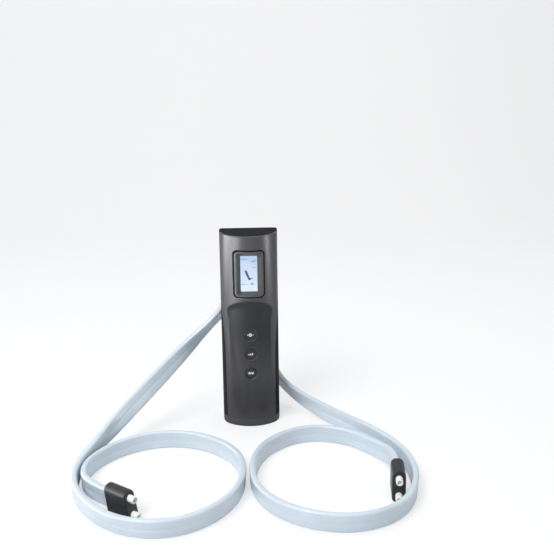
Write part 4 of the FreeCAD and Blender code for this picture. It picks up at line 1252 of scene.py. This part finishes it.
@dataclass(frozen=True)
class Display:
    """The raised frame, the clear window and the lit screen with its marks."""

    form: CaseForm = field(default_factory=CaseForm)
    middle: float = 172.8
    outer_x: float = 15.3
    outer_z: float = 24.3
    corner: float = 4.2
    outer_round: float = 0.7
    inner_x: float = 12.6
    inner_z: float = 22.6
    inner_corner: float = 2.6
    inner_round: float = 0.4
    screen_x: float = 8.8
    screen_z: float = 19.3
    screen_corner: float = 0.8
    screen_low: float = 0.8
    glass: float = -14.9
    glass_lap: float = 0.02
    proud: float = 0.5
    flatter: float = 0.9
    skirt: float = 4.5
    under: float = 2.0
    # the near-black strip in the gap round the frame, which is painted shadow
    shadow_inner: float = 0.05
    shadow_outer: float = 1.4
    shadow_sunk: float = 1.3
    shadow_foot: float = 2.3
    ink_behind: float = 0.96
    ink_thick: float = 0.03

    def ring(self, half_x: float, half_z: float, radius: float) -> np.ndarray:
        """A rounded rectangle about the middle: straight sides joined by quarter circles.

        Args:
            half_x: half its width.
            half_z: half its height.
            radius: its corner radius.

        Returns:
            A loop of (x, z).
        """
        around = 14
        straight = (half_x - radius, half_z - radius)
        centres = np.array([(1, 1), (-1, 1), (-1, -1), (1, -1)]) * straight
        steps = np.linspace(0, 1, around)[1:-1, None]
        parts = []
        for number, centre in enumerate(centres):
            a = quarter_turn(around) + number * np.pi / 2
            arc = centre + radius * np.stack([np.cos(a), np.sin(a)], axis=1)
            side = centres[(number + 1) % 4] - centre
            parts += [arc, arc[-1] + steps * side]
        return np.concatenate(parts) + (0, self.middle)

    def level(self, half_x: float, half_z: float, radius: float, sunk: float,
              flat: float) -> np.ndarray:
        """One ring of the frame, on the bow sunk by some depth, blended to the flat of the glass.

        Args:
            half_x: half its width.
            half_z: half its height.
            radius: its corner radius.
            sunk: how far behind the frame's face it lies.
            flat: 0 on the bow, 1 on the glass.

        Returns:
            Its points.
        """
        loop = self.ring(half_x, half_z, radius)
        bow = self.form.front(self.flatter * loop[:, 0], loop[:, 1], -self.proud) + sunk
        y = bow * (1 - flat) + (self.glass - self.glass_lap) * flat
        down = self.screen_low * flat * (half_x < self.inner_x)
        return np.stack([loop[:, 0], y, loop[:, 1] - down], axis=1)

    def bezel(self) -> Piece:
        """The frame: rings of a rounded rectangle on the bow.

        They go up the outside, over a quarter circle, over a smaller one, down a slope to the
        glass, and back underneath.

        Returns:
            The closed frame.
        """
        turn = quarter_turn(5)
        rings = [self.level(self.outer_x, self.outer_z, self.corner, self.skirt, 0)]
        for a in turn:
            less = self.outer_round * (1 - math.cos(a))
            rings.append(self.level(self.outer_x - less, self.outer_z - less, self.corner - less,
                                    self.outer_round * (1 - math.sin(a)), 0))
        for a in turn[::-1]:
            more = self.inner_round * (1 - math.cos(a))
            rings.append(self.level(self.inner_x + more, self.inner_z + more,
                                    self.inner_corner + more,
                                    self.inner_round * (1 - math.sin(a)), 0))
        tighter = self.screen_corner - self.inner_corner
        for t in np.linspace(0.08, 1, 6):
            rings.append(self.level(self.inner_x + (self.screen_x - self.inner_x) * t,
                                    self.inner_z + (self.screen_z - self.inner_z) * t,
                                    self.inner_corner + tighter * t, self.inner_round, t))
        for sizes in ((self.screen_x, self.screen_z, self.screen_corner),
                      (self.outer_x, self.outer_z, self.corner)):
            below = self.level(*sizes, 0, 1)
            below[:, 1] = self.glass + self.under
            rings.append(below)
        return Sheet.stack("display_frame", np.array(rings), loop=True, sharp=40)

    def gap_shadow_strip(self) -> Piece:
        """A near-black strip of painted shadow sunk in the gap round the frame: a rectangular
        section along its outline.

        Returns:
            The closed strip.
        """
        rings = []
        for out, sunk in ((self.shadow_inner, self.shadow_sunk), (self.shadow_outer, self.shadow_sunk),
                          (self.shadow_outer, self.shadow_foot), (self.shadow_inner, self.shadow_foot)):
            loop = self.ring(self.outer_x + out, self.outer_z + out, self.corner + out)
            bow = self.form.front(loop[:, 0], loop[:, 1]) + sunk
            rings.append(np.stack([loop[:, 0], bow, loop[:, 1]], axis=1))
        return Sheet.stack("display_gap_shadow", np.array(rings), loop=True, sharp=40)

    def marks(self) -> tuple[Piece, Piece]:
        """A leg figure in blue, and faint bars round it.

        The leg's middle line runs straight from the thigh to the ankle and on to the toes, and
        its width changes from the shin's to the foot's at the ankle.

        Returns:
            The leg and the bars.
        """
        face = self.glass + self.ink_behind
        thigh, shin, sole = (-3.6, 2.6 + self.middle), np.array([4.0, -9.6]), np.array([4.2, 1.9])
        ankle = 0.69
        along = np.linspace(0, 1, 33)
        down = np.minimum(along, ankle) / ankle
        ahead = np.maximum(along - ankle, 0) / (1 - ankle)
        foot = ramp(along, ankle - 0.03, 0.06)
        path = thigh + down[:, None] * shin + ahead[:, None] * sole
        width = (2.5 - 0.5 * along) * (1 - foot) + (2.0 - 1.8 * ahead) * foot
        leg = Sheet.stroke("screen_leg", path, width, face, self.ink_thick)
        places = ((-8.6, 15.0, 0.5, 8.2), (2.6, 12.6, 0.9, 4.6), (3.9, 6.0, 0.6, 3.4),
                  (-8.6, -12.4, 0.4, 7.4), (1.3, -12.2, 1.2, 3.5), (5.4, 14.2, 0.5, 1.8),
                  (2.6, -10.9, 0.7, 1.9))
        bars = []
        for number, (left, height, thick, length) in enumerate(places):
            z = self.middle + height
            line = np.linspace((left, z), (left + length, z), 6)
            bars.append(Sheet.stroke(f"bar_{number}", line, thick, face, self.ink_thick))
        return leg, Sheet.merged(bars, "screen_bars")

    def build(self, finish: Finishes) -> None:
        """Makes the frame, its gap's painted-shadow strip and the marks; dresses the screen's
        layers.

        Args:
            finish: the pump's materials.
        """
        bezel = dress(self.bezel(), finish.bezel)
        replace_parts(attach(bezel, "case"), "display_bezel")
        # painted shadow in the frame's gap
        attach(dress(self.gap_shadow_strip(), finish.gap_shadow), "case")
        leg, bars = self.marks()
        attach(dress(leg, finish.ink), "case")
        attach(dress(bars, finish.faint_ink), "case")
        dress(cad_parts["lcd_panel"], finish.screen)
        dress(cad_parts["display_window"], finish.window)
        dress(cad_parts["backlight"], finish.guide)
        log.info("display frame, seal, screen and marks")


# ---------------------------------------------------------------- keys


class Sign(Enum):
    """What a key is marked with. The value starts the names of its nodes and body."""

    STANDBY = "power"
    BARS = "mode"
    WAVES = "heat"


@dataclass(frozen=True)
class Key:
    """One round key: a turned cap with a dished face, its flange and stem, and a pale sign."""

    sign: Sign
    height: float
    radius: float = 6.35
    face: float = -20.1
    rim_round: float = 0.8
    flange: float = 7.6
    flange_face: float = -15.85
    flange_back: float = -14.85
    stem: float = 1.6
    stem_back: float = -14.0
    pen: float = 0.95
    sign_sunk: float = 0.2
    sign_thick: float = 0.3

    def cap(self) -> Piece:
        """The key turned about its own axis, rounded over at the rim.

        Returns:
            The closed cap.
        """
        soft = self.rim_round
        rim = [(self.radius - soft + soft * math.sin(a), self.face + soft - soft * math.cos(a))
               for a in quarter_turn(7)]
        profile = np.array([
            (POLE, self.face + 0.35), (2.2, self.face + 0.3), (4.2, self.face + 0.12),
            (5.2, self.face + 0.02), *rim, (self.radius, self.flange_face - 0.05),
            (self.flange, self.flange_face), (self.flange, self.flange_back),
            (self.stem, self.flange_back), (self.stem, self.stem_back), (POLE, self.stem_back)])
        axes = Sheet.inwards(0, self.height)
        return Sheet.turned(f"{self.sign.value}_key_cap", profile, axes, 64)

    def paths(self) -> list[np.ndarray]:
        """The sign's strokes about the key's middle.

        Standby is an open circle with an upright bar and a dash on either side, bars are five
        uprights of rising height, and waves are five upright sine waves.

        Returns:
            Arrays of (x, z).
        """
        if self.sign is Sign.STANDBY:
            radius, middle = 1.35, -0.2
            a = np.radians(np.linspace(125, 415, 40))
            ring = np.stack([radius * np.cos(a), radius * np.sin(a) + middle], axis=1)
            bar = np.linspace((0, -0.1), (0, 1.75), 6)
            dash = np.linspace((2.6, middle), (4.3, middle), 6)
            return [ring, bar, dash, dash * (-1, 1)]
        places = range(-2, 3)
        if self.sign is Sign.BARS:
            pitch, foot, tops = 1.85, -1.35, (-0.3, 0.2, 0.6, 1.0, 1.4)
            return [np.linspace((pitch * place, foot), (pitch * place, top), 6)
                    for place, top in zip(places, tops)]
        pitch, sway, half, turns = 1.8, 0.4, 1.3, 2.8
        t = np.linspace(-1, 1, 24)
        return [np.stack([pitch * place + sway * np.sin(turns * t), half * t], axis=1)
                for place in places]

    def build(self, finish: Finishes) -> None:
        """Makes the key and its sign and lets both ride on the key's body.

        Args:
            finish: the pump's materials.
        """
        body = f"{self.sign.value}_key"
        cap = dress(self.cap(), finish.key)
        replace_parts(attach(cap, body), f"{self.sign.value}_button")
        strokes = [Sheet.stroke(f"stroke_{number}", path + (0, self.height), self.pen,
                                self.face + self.sign_sunk, self.sign_thick)
                   for number, path in enumerate(self.paths())]
        sign = dress(Sheet.merged(strokes, f"{self.sign.value}_sign"), finish.mark)
        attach(sign, body)
        log.info("key %s at %.0f mm", self.sign.value, self.height)


# ---------------------------------------------------------------- hoses

LEFT_ROUTE: tuple[Point, ...] = (
    (-14.1, 29.0, 153.4), (-17.85, 29.0, 139.4), (-25.0, 29.5, 124.5), (-36.5, 29.5, 111.0),
    (-57.0, 20.0, 93.0), (-79.0, 4.0, 74.5), (-100.0, -15.0, 57.0), (-120.0, -36.0, 42.0),
    (-137.0, -58.0, 30.0), (-152.3, -84.0, 20.0), (-167.5, -117.0, 12.2), (-165.0, -151.0, 9.1),
    (-142.0, -188.0, 9.1), (-107.0, -212.5, 9.1), (-63.0, -215.5, 9.1), (-25.5, -190.0, 9.1),
    (-7.8, -150.0, 9.1), (-12.5, -105.0, 9.1), (-45.0, -70.0, 9.1), (-92.0, -58.5, 9.1),
    (-134.0, -76.0, 9.1), (-158.0, -107.0, 9.1), (-159.0, -136.0, 10.5), (-147.5, -158.2, 13.2),
    (-128.5, -171.5, 13.2),
)
RIGHT_ROUTE: tuple[Point, ...] = (
    (14.1, 29.0, 153.4), (17.85, 29.0, 139.4), (19.6, 29.3, 121.0), (20.0, 30.0, 103.0),
    (20.0, 31.0, 85.0), (20.4, 32.0, 67.0), (23.6, 32.5, 49.5), (31.5, 31.0, 34.5),
    (42.5, 24.5, 23.5), (56.0, 12.5, 16.5), (71.0, -3.5, 12.4), (88.5, -22.5, 10.0),
    (109.0, -44.5, 9.1), (133.0, -74.0, 9.1), (150.5, -110.0, 9.1), (152.5, -156.0, 9.1),
    (131.0, -200.0, 9.1), (88.0, -218.5, 9.1), (40.5, -208.0, 9.1), (5.5, -176.0, 9.1),
    (-2.8, -130.0, 9.1), (12.0, -85.0, 9.1), (54.0, -55.5, 9.1), (97.0, -65.0, 9.1),
    (125.5, -94.0, 9.1), (137.5, -122.0, 13.2), (134.5, -144.5, 13.2),
)
# How far each hose is twisted: millimetres along it from the case, and degrees.
LEFT_TWIST: tuple[Pair, ...] = ((0, 38), (10, 32), (40, -18), (66, -20), (108, 18), (150, 32),
                                (190, 38), (240, -2), (268, -8), (300, 0))
RIGHT_TWIST: tuple[Pair, ...] = ((0, -28), (70, -28), (112, 30), (140, 26), (176, 5),
                                 (200, -12), (250, -8), (290, 0))


@dataclass(frozen=True)
class Hose:
    """A flat ribbon hose with its strain relief, plug, nozzles and contacts. Its length, in
    metres, is not used.
    """

    side: str
    route: tuple[Point, ...]
    twist: tuple[Pair, ...]
    length: float = 0.82
    width: float = 18.0
    thick: float = 6.0
    corner: float = 2.3
    waist: float = 0.3
    waist_half: float = 1.6
    seated: float = 4.0
    uv_along: float = 100.0
    uv_around: float = 48.0

    def line(self) -> np.ndarray:
        """Points along the smooth line that the route's corners pull.

        Returns:
            An array of three columns, in millimetres.
        """
        curve = bpy.data.curves.new(f"{self.side}_line", "CURVE")
        curve.dimensions = "3D"
        curve.resolution_u = 16
        spline = curve.splines.new("NURBS")
        spline.points.add(len(self.route) - 1)
        flat = np.column_stack([np.array(self.route) * MM, np.ones(len(self.route))])
        spline.points.foreach_set("co", flat.ravel())
        spline.order_u = 3
        spline.use_endpoint_u = True
        holder = bpy.data.objects.new(f"{self.side}_line", curve)
        mesh = bpy.data.meshes.new_from_object(holder)
        points = np.zeros(len(mesh.vertices) * 3)
        mesh.vertices.foreach_get("co", points)
        bpy.data.meshes.remove(mesh)
        bpy.data.objects.remove(holder)
        bpy.data.curves.remove(curve)
        return points.reshape(-1, 3) / MM

    def frames(self, line: np.ndarray) -> tuple[np.ndarray, np.ndarray, np.ndarray]:
        """Directions along, across the width and through the thickness at each point.

        The width starts upright at the plug and is carried back along the line without turning
        about it; the twist given at distances from the case, averaged over a few points, is then
        added.

        Args:
            line: the hose's centre line.

        Returns:
            Three arrays of unit directions.
        """
        eased = 13
        along = np.gradient(line, axis=0)
        along /= np.linalg.norm(along, axis=1)[:, None]
        wide = np.zeros_like(line)
        carried = np.array([0.0, 0.0, 1.0])
        for number in range(len(line) - 1, -1, -1):
            carried = carried - along[number] * (carried @ along[number])
            carried /= np.linalg.norm(carried)
            wide[number] = carried
        thin = np.cross(along, wide)
        places, degrees = np.array(self.twist).T
        spin = np.pad(np.interp(run_length(line), places, degrees), eased // 2, mode="edge")
        spin = np.convolve(spin, np.ones(eased) / eased, mode="valid")
        turn = np.radians(spin)[:, None]
        return (along, wide * np.cos(turn) + thin * np.sin(turn),
                thin * np.cos(turn) - wide * np.sin(turn))

    def section(self) -> np.ndarray:
        """The ribbon's section: two flats with a faint waist between the two air ways.

        Quarter circles at the corners of a rectangle; each flat sinks by a narrow bell at its
        middle.

        Returns:
            A loop of two columns.
        """
        half, thick, radius = self.width / 2, self.thick / 2, self.corner
        turn = quarter_turn(7)
        arc = radius * np.stack([np.cos(turn), np.sin(turn)], axis=1)
        one = np.concatenate([(half - radius, radius - thick) + arc[::-1] * (1, -1),
                              (half - radius, thick - radius) + arc])
        flat = np.linspace(half - radius, radius - half, 21)[1:-1]
        bell = np.exp(-((flat / self.waist_half) ** 2))
        top = np.stack([flat, thick - self.waist * bell], axis=1)
        return np.concatenate([one, top, -one, -top])

    def ribbon(self, line: np.ndarray) -> Piece:
        """The hose: its section carried along the line, centre + wide * u + thin * v.

        The last ring goes on a little way into the plug, behind the plug's leaning rear end.

        Args:
            line: the hose's centre line.

        Returns:
            The closed ribbon, with a UV map that runs along it.
        """
        along, wide, thin = self.frames(line)
        shape = self.section()
        rings = (line[:, None] + shape[None, :, 0, None] * wide[:, None]
                 + shape[None, :, 1, None] * thin[:, None])
        rings[-1] += self.seated * along[-1]
        piece = Sheet.stack(f"{self.side}_ribbon_hose", rings, sharp=50)
        corner = np.zeros(len(piece.data.loops), np.int32)
        piece.data.loops.foreach_get("vertex_index", corner)
        ring, spot = np.divmod(corner, len(shape))
        uv = np.stack([run_length(line)[ring] / self.uv_along,
                       run_length(shape)[spot] / self.uv_around], axis=1)
        piece.data.uv_layers.new(name="along").data.foreach_set("uv", uv.ravel())
        return piece

    def build(self, finish: Finishes) -> None:
        """Args:
            finish: the pump's materials.
        """
        line = self.line()
        ribbon = dress(self.ribbon(line), finish.vinyl)
        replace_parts(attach(ribbon, "case"), f"{self.side}_hose")
        Relief(self.side, self.route[0], self.route[1]).build(finish)
        plug, nozzles = Plug(self.side, self.route[-2], self.route[-1]).build(finish)
        contacts = dress(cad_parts[f"{self.side}_plug_contacts"], finish.brass)
        log.info("%s hose, %d rings", self.side, len(line))


@dataclass(frozen=True)
class Relief:
    """The strain relief: a leaning, tapering sleeve with ribs, between housing and hose."""

    side: str
    exit: Point
    after: Point
    length: float = 10.9
    half_x: float = 10.3
    half_y: float = 4.3
    taper_x: float = 0.9
    taper_y: float = 0.5
    nose_x: float = 0.8
    nose_y: float = 0.5
    nose_share: float = 0.07
    rib: float = 0.35
    rib_waves: float = 7
    rib_square: float = 2.2
    corner_power: float = 0.32
    housing_floor: float = 163.98

    def sleeve(self) -> Piece:
        """The sleeve: rounded rectangles whose half sizes fall, with a squared-off rib wave.

        Each ring's points are the half sizes times the signed power of cosine and sine. No point
        rises past the housing's underside.

        Returns:
            The closed sleeve.
        """
        start, after = np.array(self.exit), np.array(self.after)
        lean = (start - after) / np.linalg.norm(start - after)
        ahead = np.array([0.0, 1.0, 0.0])
        side = np.cross(ahead, lean)
        t = np.linspace(0, 1, 60)
        rib = self.rib * np.clip(self.rib_square * np.sin(t * np.pi * self.rib_waves), -1, 1)
        nose = smooth_step(1 - t / self.nose_share)
        half_x = self.half_x - self.taper_x * (1 - t) + rib - self.nose_x * nose
        half_y = self.half_y - self.taper_y * (1 - t) + rib - self.nose_y * nose
        angle = np.linspace(0, 2 * np.pi, 64, endpoint=False)
        ux, uy = (np.sign(part) * np.abs(part) ** self.corner_power
                  for part in (np.cos(angle), np.sin(angle)))
        rings = (start + self.length * t[:, None, None] * lean
                 + (half_x[:, None] * ux[None])[..., None] * side
                 + (half_y[:, None] * uy[None])[..., None] * ahead)
        rings[..., 2] = np.minimum(rings[..., 2], self.housing_floor)
        return Sheet.stack(f"{self.side}_relief", rings, sharp=50)

    def build(self, finish: Finishes) -> None:
        """Makes the relief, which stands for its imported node.

        Args:
            finish: the pump's materials.
        """
        boot = dress(self.sleeve(), finish.boot)
        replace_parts(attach(boot, "case"), f"{self.side}_strain_relief")


@dataclass(frozen=True)
class Plug:
    """The two-nozzle plug: a wedge-ended moulded body with rounded shoulders."""

    side: str
    before: Point
    end: Point
    length: float = 31.0
    top_length: float = 25.0
    height: float = 27.5
    half: float = 6.2
    round_over: float = 2.6
    front_round: float = 0.45
    foot_round: float = 0.5
    top_corner: float = 5.2
    foot_corner: float = 3.2
    top_shrink: float = 0.75
    foot_shrink: float = 0.6
    rear_lean: float = 3.8
    nozzles: Pair = (5.6, 20.6)
    nozzle_root: float = 15.0
    nozzle_out: float = 6.4
    nozzle_half: float = 3.3
    nozzle_shank: float = 2.6
    nozzle_bore: float = 1.7
    bore_depth: float = 3.0

    def axes(self) -> tuple[np.ndarray, np.ndarray, np.ndarray]:
        """The plug's place on the table, its forward and its sideways direction.

        Returns:
            A point and two unit directions.
        """
        way = np.array(self.end) - np.array(self.before)
        forward = np.array([way[0], way[1], 0.0]) / math.hypot(way[0], way[1])
        side = np.array([-forward[1], forward[0], 0.0])
        return np.array([self.end[0], self.end[1], 0.0]), forward, side

    def front(self, rise: np.ndarray) -> np.ndarray:
        """How far forward the leaning front end is, at a share of the height."""
        return self.length - (self.length - self.top_length) * rise

    def loop(self, drawn: float) -> np.ndarray:
        """The body's cross-section: a rounded rectangle, rounder at its top.

        Args:
            drawn: how far its sides and top are drawn in.

        Returns:
            A loop of (sideways, up).
        """
        half, low, high = self.half - drawn, drawn * self.foot_round, self.height - drawn
        parts = []
        for number, (way, top) in enumerate(((1, True), (-1, True), (-1, False), (1, False))):
            a = quarter_turn(9) + number * np.pi / 2
            radius = (self.top_corner - self.top_shrink * drawn if top
                      else self.foot_corner - self.foot_shrink * drawn)
            centre = (way * (half - radius), high - radius if top else low + radius)
            parts.append(centre + radius * np.stack([np.cos(a), np.sin(a)], axis=1))
        return np.concatenate(parts)

    def body(self) -> Piece:
        """The body: a rounded block whose two ends both lean.

        A ring at share t of the length is drawn in near both ends by a quarter circle. Each point
        then moves forward to t of the way between the rear end and the front end at its height.

        Returns:
            The closed body.
        """
        origin, forward, side = self.axes()
        turn = quarter_turn(8)
        near = self.round_over * (1 - np.cos(turn)) / self.length
        inset = self.round_over * (1 - np.sin(turn))
        middle = np.linspace(0.14, 0.93, 14)
        shares = np.concatenate([near, middle, 1 - self.front_round * near[::-1]])
        insets = np.concatenate([inset, np.zeros_like(middle), self.front_round * inset[::-1]])
        rings = []
        for share, drawn in zip(shares, insets):
            loop = self.loop(drawn)
            rise = loop[:, 1] / self.height
            rear = self.rear_lean * (1 - rise)
            reach = rear + share * (self.front(rise) - rear)
            rings.append(origin + reach[:, None] * forward + loop[:, :1] * side
                         + loop[:, 1:] * np.array([0.0, 0.0, 1.0]))
        return Sheet.stack(f"{self.side}_plug_body", np.array(rings), sharp=50)

    def nozzle(self, height: float) -> Piece:
        """One white nozzle: outside, rounded lip and open bore turned as one profile.

        Args:
            height: how high its axis lies.

        Returns:
            The closed nozzle.
        """
        origin, forward, side = self.axes()
        outside, shank, bore = self.nozzle_half, self.nozzle_shank, self.nozzle_bore
        face = self.front(height / self.height)
        tip = face + self.nozzle_out
        bottom = tip - self.bore_depth
        middle, soft = (outside + bore) / 2, (outside - bore) / 2
        lip = [(middle + soft * math.cos(a), tip - soft + soft * math.sin(a))
               for a in np.linspace(0, np.pi, 9)]
        profile = np.array([(POLE, self.nozzle_root), (shank, self.nozzle_root),
                            (shank, face - 1.8), (outside, face - 1.5), (outside, tip - 2.0),
                            *lip, (bore, bottom), (POLE, bottom)])
        axes = np.array([origin + (0, 0, height), forward, side, (0, 0, 1)])
        return Sheet.turned(f"{self.side}_nozzle_{height:.0f}", profile, axes, 40)

    def build(self, finish: Finishes) -> tuple[Piece, Piece]:
        """Makes the body and the nozzles.

        Args:
            finish: the pump's materials.

        Returns:
            The body and the pair of nozzles.
        """
        body = dress(self.body(), finish.plug)
        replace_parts(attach(body, "case"), f"{self.side}_plug")
        pair = [self.nozzle(height) for height in self.nozzles]
        nozzles = dress(Sheet.merged(pair, f"{self.side}_nozzle_pair"), finish.nozzle)
        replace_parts(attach(nozzles, "case"),
                    f"{self.side}_plug_nozzles")
        return body, nozzles


# ---------------------------------------------------------------- inside


class Inside:
    """The parts inside the case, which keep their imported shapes."""

    def build(self, finish: Finishes) -> None:
        """Dresses each inner node by what it is made of.

        Args:
            finish: the pump's materials.
        """
        wanted = {
            "main_board": finish.board, "tactile_switches": finish.chip,
            "board_chips": finish.chip, "pressure_sensor": finish.chip,
            "board_screws": finish.steel, "case_screws": finish.steel, "pump_motor": finish.can,
            "motor_sleeve": finish.soft, "pump_drive_housing": finish.pump,
            "pump_crank": finish.acetal, "pump_diaphragm": finish.soft, "pump_head": finish.pump,
            "feed_tube": finish.silicone, "air_manifold": finish.pump,
            "manifold_screws": finish.steel, "outlet_block": finish.pump,
        }
        for side in ("left", "right"):
            wanted[f"{side}_valve_body"] = finish.chip
            wanted[f"{side}_valve_plunger"] = finish.iron
            wanted[f"{side}_outlet_tube"] = finish.silicone
        for node, material in wanted.items():
            dress(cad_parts[node], material)
        log.info("%d inner nodes dressed", len(wanted))


# ---------------------------------------------------------------- studio


@dataclass(frozen=True)
class Studio:
    """Pale floor and backdrop, soft lamps, and the camera. Angles are degrees."""

    pitch: float = 15.63
    yaw: float = 2.38
    roll: float = -0.56
    place: Point = (0.0, -722.0, 366.0)
    lens: float = 45.49
    floor_half: float = 3000.0
    floor_front: float = -2500.0
    floor_back: float = 900.0
    sweep: float = 600.0
    wall_height: float = 3000.0
    floor_light: float = 0.6

    def camera(self) -> None:
        """The camera: its axes from the yaw and pitch, then turned about its view by the roll."""
        p, y, r = (math.radians(a) for a in (self.pitch, self.yaw, self.roll))
        forward = Vector((math.sin(y) * math.cos(p), math.cos(y) * math.cos(p), -math.sin(p)))
        right = forward.cross(Vector((0, 0, 1))).normalized()
        up = right.cross(forward)
        right, up = (right * math.cos(r) + up * math.sin(r),
                     up * math.cos(r) - right * math.sin(r))
        data = bpy.data.cameras.new("camera")
        data.lens, data.sensor_width = self.lens, 36
        data.clip_start, data.clip_end = 0.01, 20
        holder = linked("camera", data)
        turn = Matrix((right, up, -forward)).transposed().to_4x4()
        holder.matrix_world = Matrix.Translation(Vector(self.place) * MM) @ turn
        bpy.context.scene.camera = holder

    def floor(self) -> None:
        """A floor that sweeps up into a backdrop by a quarter circle, shown pale to the camera."""
        across = np.array([-self.floor_half, self.floor_half])
        turn = quarter_turn(16)
        back, sweep = self.floor_back, self.sweep
        run = np.concatenate([[self.floor_front, back], back + sweep * np.sin(turn),
                              [back + sweep]])
        rise = np.concatenate([[0.0, 0.0], sweep - sweep * np.cos(turn), [self.wall_height]])
        points = np.array([[(x, y, z) for x in across] for y, z in zip(run, rise)])
        floor = Sheet.make("floor", points.reshape(-1, 3),
                           Sheet.grid(len(run), 2, False).tolist())
        p = Pattern("pale_floor")
        mottle = p.noise(p.place(), 3, 3)
        p.surface(Base_Color=p.blend(mottle, (240, 241, 243), (246, 246, 247)), Roughness=0.6,
                  Specular_IOR_Level=0.2)
        glow = p.node("ShaderNodeEmission", in_Color=linear(WHITE), in_Strength=1.0)
        rays = p.node("ShaderNodeLightPath")
        seen = p.node("ShaderNodeMath", operation="MULTIPLY")
        mix = p.node("ShaderNodeMixShader")
        for socket, value in ((seen.inputs[0], rays.outputs["Is Camera Ray"]),
                              (seen.inputs[1], self.floor_light),
                              (mix.inputs[0], seen.outputs[0]),
                              (mix.inputs[1], p.shader.outputs[0]),
                              (mix.inputs[2], glow.outputs[0]),
                              (p.tree.nodes["Material Output"].inputs["Surface"],
                               mix.outputs[0])):
            p.give(socket, value)
        dress(floor, p.material)

    def lamp(self, name: str, place: Point, aim: Point, size: Pair, power: float,
             card: bool = False) -> None:
        """A soft rectangular lamp, in metres.

        Args:
            name: the lamp's name.
            place: where it hangs.
            aim: what it points at.
            size: its width and height.
            power: its watts.
            card: whether it only shows in reflections, as a pale reflector card does.
        """
        data = bpy.data.lights.new(name, "AREA")
        data.shape = "RECTANGLE"
        data.size, data.size_y = size
        data.energy = power
        holder = linked(name, data)
        holder.location = place
        holder.rotation_euler = (Vector(aim) - Vector(place)).to_track_quat("-Z", "Y").to_euler()
        holder.visible_camera = False
        holder.visible_diffuse = not card

    def world(self) -> None:
        """Even pale light from all round."""
        world = bpy.data.worlds.new("studio_air")
        world.use_nodes = True
        back = world.node_tree.nodes["Background"]
        back.inputs["Color"].default_value = (0.93, 0.96, 1.0, 1)
        back.inputs["Strength"].default_value = 0.26
        bpy.context.scene.world = world

    def build(self) -> None:
        """Sets up the whole studio."""
        self.camera()
        self.floor()
        self.world()
        self.lamp("key", (-0.75, -0.95, 1.5), (0, -0.05, 0.05), (0.9, 0.9), 25)
        self.lamp("left_card", (-0.48, 0.04, 0.17), (0, 0, 0.17), (0.28, 0.16), 1.5, card=True)
        self.lamp("front_card", (-0.45, -0.28, 0.11), (0, 0, 0.13), (0.34, 0.2), 1.3, card=True)
        self.lamp("right_card", (0.5, -0.09, 0.17), (0, 0, 0.17), (0.04, 0.18), 0.6, card=True)
        self.lamp("fill", (0.9, -0.6, 1.3), (0, -0.05, 0.05), (0.8, 0.8), 1.5)
        self.lamp("top", (0, 0.3, 1.6), (0, -0.05, 0), (1.4, 1.0), 10)
        bpy.context.scene.view_settings.view_transform = "Standard"
        log.info("studio ready")


def main() -> None:
    """Builds the pump piece by piece."""
    logging.basicConfig(level=logging.INFO, format="%(message)s")
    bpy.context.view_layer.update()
    Studio().build()
    finish = Finishes()
    Hose("left", LEFT_ROUTE, LEFT_TWIST).build(finish)
    Hose("right", RIGHT_ROUTE, RIGHT_TWIST).build(finish)
    case = Case()
    case.build(finish)
    Display().build(finish)
    for sign, height in zip(Sign, case.key_heights):
        Key(sign, height).build(finish)
    Inside().build(finish)


if __name__ == "__main__":
    main()
